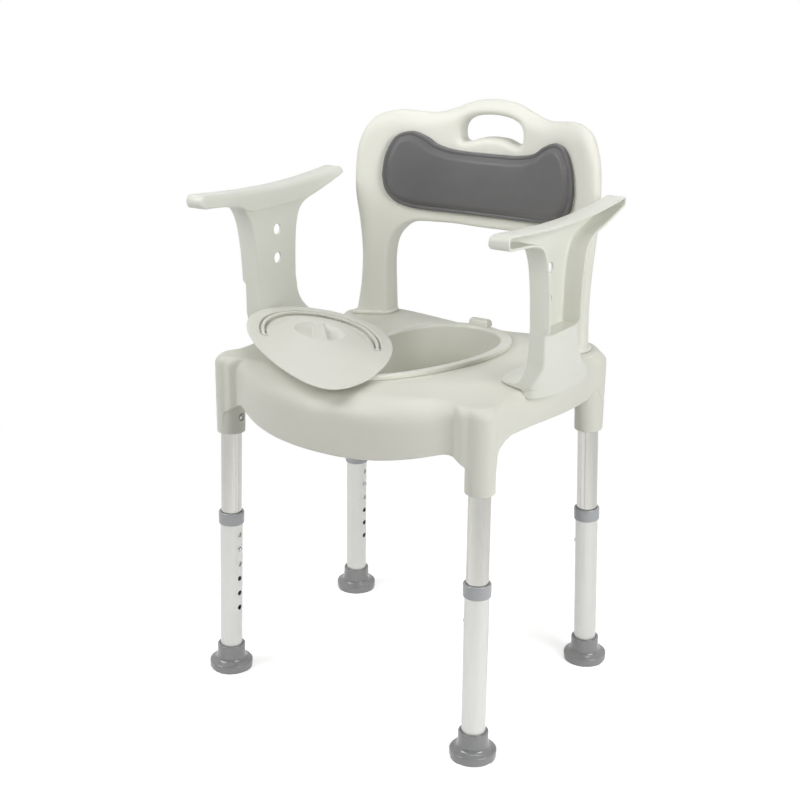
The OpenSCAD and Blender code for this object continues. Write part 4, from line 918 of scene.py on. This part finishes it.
def bail_sweep(over, grow):
    """Angles along the bail, some degrees over at its ends and more as the loop grows."""
    t0 = BAIL_START - math.radians(over) - grow * END_GROWTH
    return np.linspace(t0, TURN - t0, 160)


def trough_loop(grow):
    """Loop round the bail's trough: wider inwards between the ends, a shallow notch at the rear."""
    t = bail_sweep(3, grow)
    start, run = math.radians(9), math.radians(26)
    wide = TROUGH_WIDE * smooth((t - t[0] - start) / run) * smooth((t[-1] - start - t) / run)
    half = BAIL_W / 2 + TROUGH_GAP + grow
    outer, inner = lid_egg(BAIL_INSET - half, t), lid_egg(BAIL_INSET + half + wide, t)
    notch = REAR_NOTCH * smooth((REAR_NOTCH_HALF - np.abs(inner[:, 0])) / REAR_NOTCH_RUN)
    inner[:, 1] -= np.where(inner[:, 1] > 100, notch, 0)
    return loop_evenly(np.vstack([outer, inner[::-1]]), 2.2)


def groove_loop(grow):
    """Loop round the deep groove that the bail lies in."""
    t = bail_sweep(2.8, grow)
    half = BAIL_W / 2 + GROOVE_GAP + grow
    outer, inner = lid_egg(BAIL_INSET - half, t), lid_egg(BAIL_INSET + half, t)
    return loop_evenly(np.vstack([outer, inner[::-1]]), 2.2)


def bridge_half(y):
    """Half width of the tapered bridge across the finger recess."""
    return lerp(BRIDGE_FRONT, BRIDGE_REAR, (y - RECESS_Y + RECESS_R) / (2 * RECESS_R))


def half_moon(s, shrink):
    """One half of the finger recess, beside the bridge; s is its side."""
    r = RECESS_R - shrink
    bow = np.array(arc(0, RECESS_Y, r, r, np.linspace(-84, 84, 61)))
    bow = bow[bow[:, 0] > bridge_half(bow[:, 1]) + shrink * 0.5 + 0.3]
    y = np.linspace(bow[-1, 1], bow[0, 1], 24)
    line = np.stack([bridge_half(y) + shrink * 0.5, y], 1)
    return loop_evenly(np.vstack([bow, line]), 1.8) * [s, 1]


def scoop(p):
    """Depth of the finger recess: a shallow bowl, cut off steeply at the bridge."""
    r = np.hypot(p[:, 0], p[:, 1] - RECESS_Y) / RECESS_R
    bowl = np.interp(r, [0, 0.25, 0.5, 0.74, 0.9, 1], [1, 0.98, 0.89, 0.66, 0.34, 0])
    return RECESS_DEEP * bowl * smooth((np.abs(p[:, 0]) - bridge_half(p[:, 1])) / BRIDGE_WALL) ** 0.75


def lid_plate():
    """The lid with the bail's trough and groove and the two halves of the finger recess sunk into it."""
    t = TURN * np.arange(220) / 220
    edge = lid_egg(0, t)
    brink, slot_top, slot_low = trough_loop(2 * BRINK_EASE), trough_loop(0), trough_loop(-BRINK_EASE)
    groove_top, groove_low = groove_loop(0), groove_loop(-0.3)
    moons = [half_moon(s, 0) for s in (-1, 1)]
    guides = [lid_egg(d, t) for d in (0.35, 0.9, 1.8)]
    guides += [brink, slot_top, slot_low, groove_top, groove_low] + moons
    guides += [half_moon(s, k) for s in (-1, 1) for k in (0.6, 1.4, 2.6, 4.4, 7, 10, 14)]

    def sunk(p, z, level):
        for moon in moons:
            z = np.where(inside(p, moon) & (away(p, moon, True) > 0.01), level - scoop(p), z)
        return z

    def top(p):
        z = -rounding(away(p, edge, True), LID_EDGE, LID_EDGE)
        z = np.where((away(p, slot_top, True) < 0.05) & ~inside(p, slot_low), -BRINK_EASE, z)
        z = np.where(within(p, slot_low), TROUGH_FLOOR - LID_H, z)
        z = np.where(within(p, groove_low), -GROOVE_DEEP, z)
        return sunk(p, z, 0)

    def under(p):
        z = 0.5 * (1 - np.minimum(away(p, edge, True), 1)) - LID_WALL
        z = np.where(within(p, brink, 1.5), -LID_H, z)
        z = np.where(within(p, groove_top), -GROOVE_DEEP - GROOVE_FLOOR, z)
        return sunk(p, z, -LID_WALL)

    verts, faces = relief([edge], guides, grid_in(edge, 7.0, 3.0, [brink] + moons), top, under)
    return lid_frame(verts), faces


def bail_strip():
    """The bail: a rounded strip that follows the lid's edge, with an eye and a pin at each end."""
    mid = lid_egg(BAIL_INSET, np.linspace(BAIL_START, TURN - BAIL_START, 120))
    normals = left_normals(np.gradient(mid, axis=0))
    x, z = BAIL_W / 2 - BAIL_EDGE, BAIL_H / 2 - BAIL_EDGE
    section = []
    for cx, cz, start in ((x, z, 0), (-x, z, 90), (-x, -z, 180), (x, -z, 270)):
        section += arc(cx, cz, BAIL_EDGE, BAIL_EDGE, start + np.array([0, 30, 60, 90]))
    parts = [loft([[(*(m + k * u), v - BAIL_H / 2) for u, v in section] for m, k in zip(mid, normals)])]
    for s in (1, -1):
        for r, length in ((EYE_R, BAIL_W), (PIN_R, PIN_LEN)):
            half, e = length / 2, PIN_EDGE
            pin = [(0, -half), (r - e, -half), (r, -half + e), (r, half - e), (r - e, half), (0, half)]
            verts, faces = turned(pin, 32)
            parts.append((verts[:, [2, 0, 1]] + [s * mid[0, 0], BAIL_Y, -BAIL_H / 2], faces))
    verts, faces = joined(parts)
    return lid_frame(verts), faces


place(add_mesh("lid_moulding", *lid_plate(), 35), lid_plastic, "lid", "lid_plastic", "lid")
place(add_mesh("bail_strip", *bail_strip(), 40), lid_plastic, "lid_handle", "lid_plastic", "lid_handle")


# Backrest: half outlines as shares of a half width and of the height over the seat

BACK_OUTER = [
    (0.972, 0), (0.953, 0.14), (0.954, 0.29), (0.975, 0.43), (1, 0.555), (1.003, 0.665), (0.987, 0.77),
    (0.945, 0.85), (0.885, 0.9), (0.81, 0.925), (0.71, 0.936), (0.6, 0.933), (0.495, 0.928), (0.405, 0.936),
    (0.3, 0.958), (0.165, 0.988), (0, 1)]
BACK_INNER = [
    (0.745, 0), (0.756, 0.125), (0.764, 0.24), (0.755, 0.32), (0.733, 0.364), (0.7, 0.394), (0.658, 0.417),
    (0.612, 0.431), (0.57, 0.438), (0.522, 0.44), (0.465, 0.44), (0.4, 0.44), (0.336, 0.44), (0.274, 0.439),
    (0.204, 0.437), (0.115, 0.434), (0, 0.433)]
SLOT_UPPER = [(1, 0.848), (0.965, 0.88), (0.83, 0.906), (0.55, 0.924), (0.25, 0.931), (0, 0.933)]
SLOT_LOWER = [
    (0, 0.835), (0.3, 0.832), (0.52, 0.823), (0.72, 0.812), (0.88, 0.81), (0.975, 0.822), (1, 0.848)]


def back_shares(table, half):
    return through(table, np.linspace(0, 1, 240)) * [half, BACK_H - BACK_LIFT] + [0, BACK_Z]


def back_front(x):
    """The front face's place lengthwise: it curves round the sitter's back."""
    return BACK_Y - x * x / (2 * BACK_BEND)


def lean(z):
    """How far a post has come forwards at a height, 1 at its foot and 0 at the crossbar."""
    return np.clip(1 - (z - BACK_Z) / (POST_SHARE * BACK_H), 0, 1) ** 1.5


def slot_loop():
    half = np.vstack([back_shares(SLOT_LOWER, SLOT_HALF), back_shares(SLOT_UPPER, SLOT_HALF)[1:]])
    return evenly(mirrored(half), 2.5)[:-1]


def backrest_shell():
    outer = evenly(mirrored(back_shares(BACK_OUTER, BACK_HALF)), 4.0)
    arch = evenly(mirrored(back_shares(BACK_INNER, BACK_HALF)), 4.0)
    loop = np.vstack([outer, arch[::-1]])
    slot = slot_loop()
    borders = [(path, left_normals(np.gradient(path, axis=0))) for path in (outer, arch)]
    borders.append((slot, left_normals(loop_directions(slot))))

    def gaps(p):
        return {"outer": away(p, outer), "arch": away(p, arch), "slot": away(p, slot, True)}

    pts = []
    for d in (0.4, 1.4, 3.2, 5.8, 9.0, 13.0, 18.0, 24.0):
        for path, normals in borders:
            for s in (1, -1):
                q = path + s * d * normals
                q = q[inside(q, loop) & ~inside(q, slot)]
                pts.append(q[np.min(list(gaps(q).values()), 0) > 0.97 * d])
    pts.append(grid_in(loop, 9.0, 26.0, [slot]))
    across = np.linspace(0.76, 0.96, 7) * BACK_HALF
    pts.append(np.array([[s * x, BACK_Z + h] for s in (1, -1) for x in across for h in (0.6, 6, 12)]))

    def fall(p, edges):
        sunk = sum(rounding(d, *edges[key]) for key, d in gaps(p).items())
        return np.minimum(sunk, edges["outer"][1] + 0.4)

    def front(p):
        return back_front(p[:, 0]) - POST_LEAN * lean(p[:, 1]) + fall(p, FRONT_EDGES)

    def back(p):
        lengthened = BACK_T + (POST_EXTRA - POST_LEAN) * lean(p[:, 1])
        return back_front(p[:, 0]) + lengthened - fall(p, REAR_EDGES)

    verts, faces = relief([loop, slot], [], np.vstack(pts), front, back)
    return verts[:, [0, 2, 1]], faces


def post_flange(s):
    """The rounded ring round a post's foot; s is its side."""
    x0, x1 = BACK_INNER[0][0] * BACK_HALF, BACK_OUTER[0][0] * BACK_HALF
    deep = (BACK_T + POST_EXTRA) / 2
    a = TURN * np.arange(96) / 96
    u, v = [np.copysign(np.abs(c) ** 0.6, c) for c in (np.cos(a), np.sin(a))]
    rings = []
    swells = [(3.2, 0), (4.0, 0.6), (4.2, 2.4), (4.0, 4.0), (3.2, 5.4), (1.8, 6.4), (0.2, 6.9), (-4, 7.2)]
    for grow, z in swells:
        x = (x0 + x1) / 2 + u * ((x1 - x0) / 2 + grow)
        y = back_front(np.clip(x, x0, x1)) - POST_LEAN + deep + v * (deep - 0.6 + grow)
        rings.append(np.stack([s * x, y, np.full(len(a), BACK_Z + z)], 1))
    return loft(rings)


backrest = add_mesh("backrest_moulding", *joined([backrest_shell(), post_flange(1), post_flange(-1)]), 50)
place(backrest, back_plastic, "chair", "back_plastic", "backrest")


# Back pad: half outlines as shares, like the backrest's

PAD_UPPER = [
    (0, 0.767), (0.3, 0.771), (0.5, 0.79), (0.62, 0.825), (0.75, 0.847), (0.88, 0.825), (0.97, 0.745),
    (1, 0.65)]
PAD_LOWER = [
    (0, 0.49), (0.3, 0.492), (0.5, 0.496), (0.62, 0.499), (0.75, 0.506), (0.88, 0.529), (0.97, 0.58),
    (1, 0.65)]
PAD_ROWS = (0.25, 0.7, 1.4, 2.4, 3.6, 4.6, 5.2, 5.8, 6.4, 7.2, 8.4, 10, 11.6, 13.4, 15.4, 18, 21, 24.5)


def pad_cushion():
    """The back pad: a flat lip round a raised panel, swelled by cloth with the lip and the back held."""
    half = np.vstack([back_shares(PAD_LOWER, PAD_HALF), back_shares(PAD_UPPER, PAD_HALF)[::-1][1:]])
    loop = evenly(mirrored(half), 3.0)[:-1]
    pts = [inset(loop, d) for d in PAD_ROWS] + [grid_in(loop, 6.0, 26.5)]

    def back(p):
        return back_front(p[:, 0]) - PAD_GAP

    def front(p):
        d = away(p, loop, True)
        lip = PAD_LIP - rounding(d, PAD_LIP_R, PAD_LIP_R)
        seam = PAD_SEAM_DEEP * np.exp(-((d - PAD_SEAM) / PAD_SEAM_W) ** 2)
        panel = PANEL_UP * smooth((d - PANEL_IN) / PANEL_RUN)
        crown = PANEL_CROWN * (1 - np.exp(-np.maximum(d - CROWN_IN, 0) / CROWN_RUN))
        return back(p) - (lip - seam + panel + crown)

    verts, faces = relief([loop], [], np.vstack(pts), front, back)
    ob = add_mesh("back_pad_cushion", verts[:, [0, 2, 1]], faces, 60)
    swell(ob, loop)
    return ob


def hold(ob, loop, rest):
    """Weights that hold the pad's back and lip and let go towards the panel's middle."""
    flat = rest[:, [0, 2]] / MM
    d = away(flat, loop, True)
    back = rest[:, 1] / MM - SHIFT > back_front(flat[:, 0]) - PAD_GAP - 0.5
    weights = np.where(back, 1.0, np.clip(1 - (d - SWELL_IN) / SWELL_RUN, 0, 1))
    held = ob.vertex_groups.new(name="held")
    for i, w in enumerate(weights):
        if w > 0:
            held.add([i], float(w), "REPLACE")


def swell(ob, loop):
    """A short cloth run under pressure; no point moves further than SWELL_MOST."""
    rest = mesh_points(ob.data)
    hold(ob, loop, rest)
    cloth = ob.modifiers.new("swell", "CLOTH")
    s = cloth.settings
    s.quality = 6
    s.mass = 0.4
    s.use_pressure = True
    s.uniform_pressure_force = 3.0
    s.tension_stiffness = 25
    s.compression_stiffness = 25
    s.bending_stiffness = 4
    s.vertex_group_mass = "held"
    s.effector_weights.gravity = 0
    cloth.point_cache.frame_start = 1
    cloth.point_cache.frame_end = SWELL_FRAMES
    for f in range(1, SWELL_FRAMES + 1):
        scene.frame_set(f)
    bpy.context.view_layer.update()
    step = mesh_points(ob.evaluated_get(bpy.context.evaluated_depsgraph_get()).data) - rest
    size = np.linalg.norm(step, axis=1)
    now = rest + step * np.minimum(1, SWELL_MOST * MM / np.maximum(size, 1e-9))[:, None]
    ob.modifiers.clear()
    ob.vertex_groups.clear()
    ob.data.vertices.foreach_set("co", now.ravel())
    ob.data.update()
    scene.frame_set(1)


pad = place(pad_cushion(), pad_foam, "chair", "pad_foam", "back_pad")


# Armrests: outline as shares of the reach and the height; cheek as place, lower and upper edge

ARM_OUTLINE = [
    (-0.394, 0.26), (-0.4, 0.4), (-0.415, 0.56), (-0.44, 0.7), (-0.475, 0.805), (-0.54, 0.888),
    (-0.66, 0.922), (-0.82, 0.934), (-0.98, 0.941), (-1.019, 0.957), (-1.03, 0.985), (-1.015, 1.014),
    (-0.97, 1.026), (-0.7, 1.014), (-0.35, 1.004), (0, 1.006), (0.35, 1.024), (0.62, 1.046), (0.722, 1.057),
    (0.75, 1.054), (0.765, 1.036), (0.76, 1.01), (0.735, 0.996), (0.64, 0.968), (0.44, 0.917), (0.25, 0.872),
    (0.165, 0.82), (0.125, 0.735), (0.108, 0.62), (0.102, 0.45), (0.104, 0.32), (0.105, 0.26)]
CHEEK = np.array([
    (-1.03, 0.985, 0.987), (-1, 0.962, 1), (-0.97, 0.947, 1.018), (-0.8, 0.941, 1.012), (-0.6, 0.905, 1.005),
    (-0.45, 0.872, 1), (-0.2, 0.874, 0.998), (0, 0.884, 0.999), (0.15, 0.894, 1.003), (0.3, 0.912, 1.012),
    (0.5, 0.955, 1.028), (0.68, 0.996, 1.042), (0.735, 1.015, 1.046)])
# Foot, from the seat up: the toe's place inwards and its height, and the heel's place, as shares
TOE = [(0, 0), (0.3, 0.02), (0.583, 0.073), (0.8, 0.18), (0.917, 0.34), (0.98, 0.62), (1, 1)]
HEEL = [0, 0.05, 0.2, 0.43, 0.7, 0.92, 1]


def cheek_edges(y):
    """Heights of the cheek's lower and upper edge at a share of the reach."""
    return [SEAT_TOP + np.interp(y, CHEEK[:, 0], CHEEK[:, k]) * ARM_H for k in (1, 2)]


def cheek_band():
    """The crease under the bar's inner face, as a thin closed band."""
    y = np.linspace(-0.97, 0.72, 120)
    low = np.stack([y * ARM_REACH, cheek_edges(y)[0]], 1)
    return np.vstack([low, (low - [0, CHEEK_CREASE])[::-1]])


def cheek(p):
    """How far the bar's inner face stands out over the web."""
    y, z = p[:, 0] / ARM_REACH, p[:, 1]
    low, high = cheek_edges(y)
    above = np.clip(1 - (z - low) / np.maximum(high - low, 1), 0, 1)
    below = np.clip(1 - (low - z) / CHEEK_CREASE, 0, 1)
    return CHEEK_OUT * smooth((y + 1.0) / CHEEK_FADE) * np.where(z > low, above, below)


def web_hole(k):
    a = TURN * np.arange(48) / 48
    up = SEAT_TOP + HOLE_UP - k * HOLE_STEP
    return np.stack([HOLE_Y + HOLE_R * np.cos(a), up + HOLE_R * np.sin(a)], 1)


def arm_channel():
    """The open channel: web towards the sitter, a lip that steps down at the foot, two web holes."""
    curve = through(ARM_OUTLINE, np.linspace(0, 1, 900)) * [ARM_REACH, ARM_H] + [0, SEAT_TOP]
    loop = evenly(curve, 2.6)
    holes = [web_hole(0), web_hole(1)]
    w, full = ARM_WALL, ARM_W
    lip = np.array([
        (0, full - 1.3), (0.25, full - 0.75), (0.7, full - 0.2), (1.3, full), (w - 1.2, full),
        (w - 0.5, full - 0.25), (w - 0.12, full - 0.9), (w + 0.05, full - 2.0), (w + 0.5, w + 3.0),
        (w + 1.0, w + 1.2), (w + 1.8, w + 0.35), (w + 2.8, w)])
    guides = [inset(loop, d) for d in lip[1:, 0]] + [cheek_band()]
    pts = [grid_in(loop, 6.0, w + 4, holes)]
    for h in holes:
        c = h.mean(0)
        pts += [c + (h - c) * k for k in (1.05, 1.14, 1.35)]

    def outer(p):
        step = smooth((SEAT_TOP + FOOT_H + STEP_OVER - p[:, 1]) / STEP_RUN)
        return np.minimum(np.interp(away(p, loop, True), *lip.T), ARM_W - FOOT_STEP * step)

    def inner(p):
        d = away(p, loop, True)
        bar = smooth((p[:, 1] - SEAT_TOP - BAR_SHARE * ARM_H) / BAR_RUN)
        eased = lerp(rounding(d, *WEB_EDGE), rounding(d, *BAR_EDGE), bar)
        hole = np.min([away(p, h, True) for h in holes], 0)
        return eased - cheek(p) + rounding(hole, *HOLE_EDGE)

    verts, faces = relief([loop] + holes, guides, np.vstack(pts), outer, inner)
    return np.stack([verts[:, 2] + ARM_X, verts[:, 0], verts[:, 1]], 1), faces


def foot_ring(tx, tz, heel, z, undercut=False):
    """One level of the foot, a rounded box: tx and tz are the toe's shares, heel the heel's."""
    a = TURN * (np.arange(144) + 0.5) / 144
    v = float(smooth(tz * 2))
    n = lerp(np.where(np.cos(a) < 0, TOE_SQUARE, SKIN_SQUARE), TOP_SQUARE, v)
    px, py = [np.sign(c) * np.abs(c) ** (2 / n) for c in (np.cos(a), np.sin(a))]
    x0, x1 = lerp(FOOT_TOE_X, ARM_X - FOOT_PROUD, tx), lerp(FOOT_OUT_X, ARM_X + ARM_W - FOOT_BOW_TOP, v)
    y0 = -lerp(FOOT_FRONT, -ARM_OUTLINE[1][0] * ARM_REACH + FOOT_PROUD, v)
    y1 = lerp(FOOT_HEEL, ARM_OUTLINE[-1][0] * ARM_REACH + FOOT_PROUD, heel)
    x = lerp(x0, x1, (px + 1) / 2) + lerp(FOOT_BOW, FOOT_BOW_TOP, v) * (px + 1) / 2 * (1 - py ** 2)
    corner = (1 - px) * (1 - py) / 4
    y = lerp(y0, y1, (py + 1) / 2) + TOE_CUT * (1 - tx) * corner
    if undercut:
        x, y = x + UNDERCUT_X * (1 - px) / 2, y + UNDERCUT_Y * corner
    return np.stack([x, y, np.full(len(a), SEAT_TOP + z)], 1)


def arm_foot():
    """The closed foot: its toe runs inwards over the seat, its outer skin bows and laps the edge."""
    u = np.linspace(0, 1, 44)
    toe, heel = through(TOE, u), through(HEEL, u)[:, 0]
    below = [(-FOOT_LAP, True), (FOOT_SILL, True), (FOOT_SILL + 0.3, False)]
    rings = [foot_ring(*toe[0], heel[0], z, undercut) for z, undercut in below]
    for (tx, tz), h in zip(toe, heel):
        rings.append(foot_ring(tx, tz, h, lerp(FOOT_BASE, FOOT_H + FOOT_CAP, tz)))
    return loft(rings)


for side, name in ((1, "right"), (-1, "left")):
    verts, faces = joined([arm_channel(), arm_foot()])
    arm = add_mesh("armrest_" + name + "_moulding", verts * [side, 1, 1], faces, 40)
    place(arm, arm_plastic, "chair", "arm_plastic", "armrest_" + name)


# Floor, light and camera

def ray_seen(t, *kinds):
    """1 for the kinds of ray named, such as the camera's or a reflection's, 0 for light on the part."""
    path = t.nodes.new("ShaderNodeLightPath")
    last = path.outputs[kinds[0]]
    for name in kinds[1:]:
        most = t.nodes.new("ShaderNodeMath")
        most.operation = "MAXIMUM"
        t.links.new(last, most.inputs[0])
        t.links.new(path.outputs[name], most.inputs[1])
        last = most.outputs[0]
    return last


def times(t, a, b):
    node = t.nodes.new("ShaderNodeMath")
    node.operation = "MULTIPLY"
    for socket, value in zip(node.inputs, (a, b)):
        feed(t, socket, value)
    return node.outputs[0]


def eased_range(t, value, start, end, lo=0.0):
    """Runs smoothly from lo to 1 while the value goes from start to end."""
    node = t.nodes.new("ShaderNodeMapRange")
    node.interpolation_type = "SMOOTHSTEP"
    node.inputs["From Min"].default_value = start
    node.inputs["From Max"].default_value = end
    node.inputs["To Min"].default_value = lo
    t.links.new(value, node.inputs["Value"])
    return node.outputs["Result"]


def pale_floor():
    """A lit floor that takes the shadow near the part and runs out into plain white."""
    m = bpy.data.materials.new("pale_floor")
    m.use_nodes = True
    t = m.node_tree
    lit = t.nodes["Principled BSDF"]
    lit.inputs["Roughness"].default_value = 0.8
    lit.inputs["Specular IOR Level"].default_value = 0.1
    at = t.nodes.new("ShaderNodeTexCoord").outputs["Object"]
    grain = t.nodes.new("ShaderNodeTexNoise")
    grain.inputs["Scale"].default_value = 3.0
    t.links.new(at, grain.inputs["Vector"])
    tone = t.nodes.new("ShaderNodeMapRange")
    tone.inputs["To Min"].default_value = 0.9
    tone.inputs["To Max"].default_value = 0.93
    t.links.new(grain.outputs["Fac"], tone.inputs["Value"])
    t.links.new(tone.outputs["Result"], lit.inputs["Base Color"])
    seen = ray_seen(t, "Is Camera Ray", "Is Glossy Ray", "Is Transmission Ray")
    lift, white = t.nodes.new("ShaderNodeEmission"), t.nodes.new("ShaderNodeEmission")
    t.links.new(times(t, seen, FLOOR_LIFT), lift.inputs["Strength"])
    both, mix = t.nodes.new("ShaderNodeAddShader"), t.nodes.new("ShaderNodeMixShader")
    t.links.new(lit.outputs[0], both.inputs[0])
    t.links.new(lift.outputs[0], both.inputs[1])
    far = t.nodes.new("ShaderNodeVectorMath")
    far.operation = "LENGTH"
    t.links.new(at, far.inputs[0])
    fade = eased_range(t, far.outputs["Value"], *FLOOR_FADE)
    t.links.new(times(t, seen, fade), mix.inputs["Fac"])
    t.links.new(both.outputs[0], mix.inputs[1])
    t.links.new(white.outputs[0], mix.inputs[2])
    t.links.new(mix.outputs[0], t.nodes["Material Output"].inputs["Surface"])
    return m


def soft_world():
    """White behind the part, a weaker, even light on it, reflections darker away from the backdrop."""
    w = bpy.data.worlds.new("soft_studio")
    w.use_nodes = True
    t = w.node_tree
    bg = t.nodes["Background"]
    bg.inputs["Color"].default_value = (1, 1, 1, 1)
    way = t.nodes.new("ShaderNodeVectorMath")
    way.operation = "DOT_PRODUCT"
    way.inputs[1].default_value = BACKDROP
    t.links.new(t.nodes.new("ShaderNodeTexCoord").outputs["Generated"], way.inputs[0])
    level, plain = t.nodes.new("ShaderNodeMix"), t.nodes.new("ShaderNodeMix")
    level.inputs["A"].default_value = WORLD_LIGHT
    t.links.new(ray_seen(t, "Is Glossy Ray"), level.inputs["Factor"])
    t.links.new(eased_range(t, way.outputs["Value"], *SHINE_SPAN, SHINE_LOW), level.inputs["B"])
    plain.inputs["B"].default_value = 1.0
    t.links.new(ray_seen(t, "Is Camera Ray", "Is Transmission Ray"), plain.inputs["Factor"])
    t.links.new(level.outputs["Result"], plain.inputs["A"])
    t.links.new(plain.outputs["Result"], bg.inputs["Strength"])
    return w


def hang(lamp, at, aim):
    ob = add_object(lamp.name, lamp)
    ob.location = at
    ob.rotation_euler = (Vector(aim) - Vector(at)).to_track_quat("-Z", "Y").to_euler()


def studio():
    bm = bmesh.new()
    bmesh.ops.create_grid(bm, x_segments=1, y_segments=1, size=FLOOR_SIZE)
    me = bpy.data.meshes.new("studio_floor")
    bm.to_mesh(me)
    bm.free()
    me.materials.append(pale_floor())
    floor = add_object("studio_floor", me)
    scene.world = soft_world()
    for name, (at, size, watts) in LAMPS.items():
        lamp = bpy.data.lights.new(name, "AREA")
        lamp.energy = watts
        lamp.size = size
        hang(lamp, at, LAMP_AIM)
    at, aim, watts = BACK_SPOT
    lamp = bpy.data.lights.new("back_spot", "SPOT")
    lamp.energy = watts
    lamp.shadow_soft_size = SPOT_SOFT
    lamp.spot_size = math.radians(SPOT_CONE)
    lamp.spot_blend = 1.0
    hang(lamp, at, aim)


def camera():
    """The photo's camera, turned by its yaw, then its pitch, then its roll."""
    cam = bpy.data.cameras.new("photo_camera")
    cam.sensor_width = 36.0
    cam.lens = CAMERA_LENS
    cam.clip_end = 60.0
    ob = add_object("photo_camera", cam)
    yaw, pitch, roll = [math.radians(v) for v in CAMERA_TURN]
    level = Vector((-math.sin(yaw), math.cos(yaw), 0))
    ahead = level * math.cos(pitch) - Vector((0, 0, math.sin(pitch)))
    right = Vector((math.cos(yaw), math.sin(yaw), 0))
    up = right.cross(ahead)
    r = right * math.cos(roll) + up * math.sin(roll)
    u = up * math.cos(roll) - right * math.sin(roll)
    m = Matrix((r, u, -ahead)).transposed().to_4x4()
    m.translation = (Vector(CAMERA_AT) + Vector((0, SHIFT, 0))) * MM
    ob.matrix_world = m
    scene.camera = ob


studio()
camera()
scene.view_settings.view_transform = "Standard"
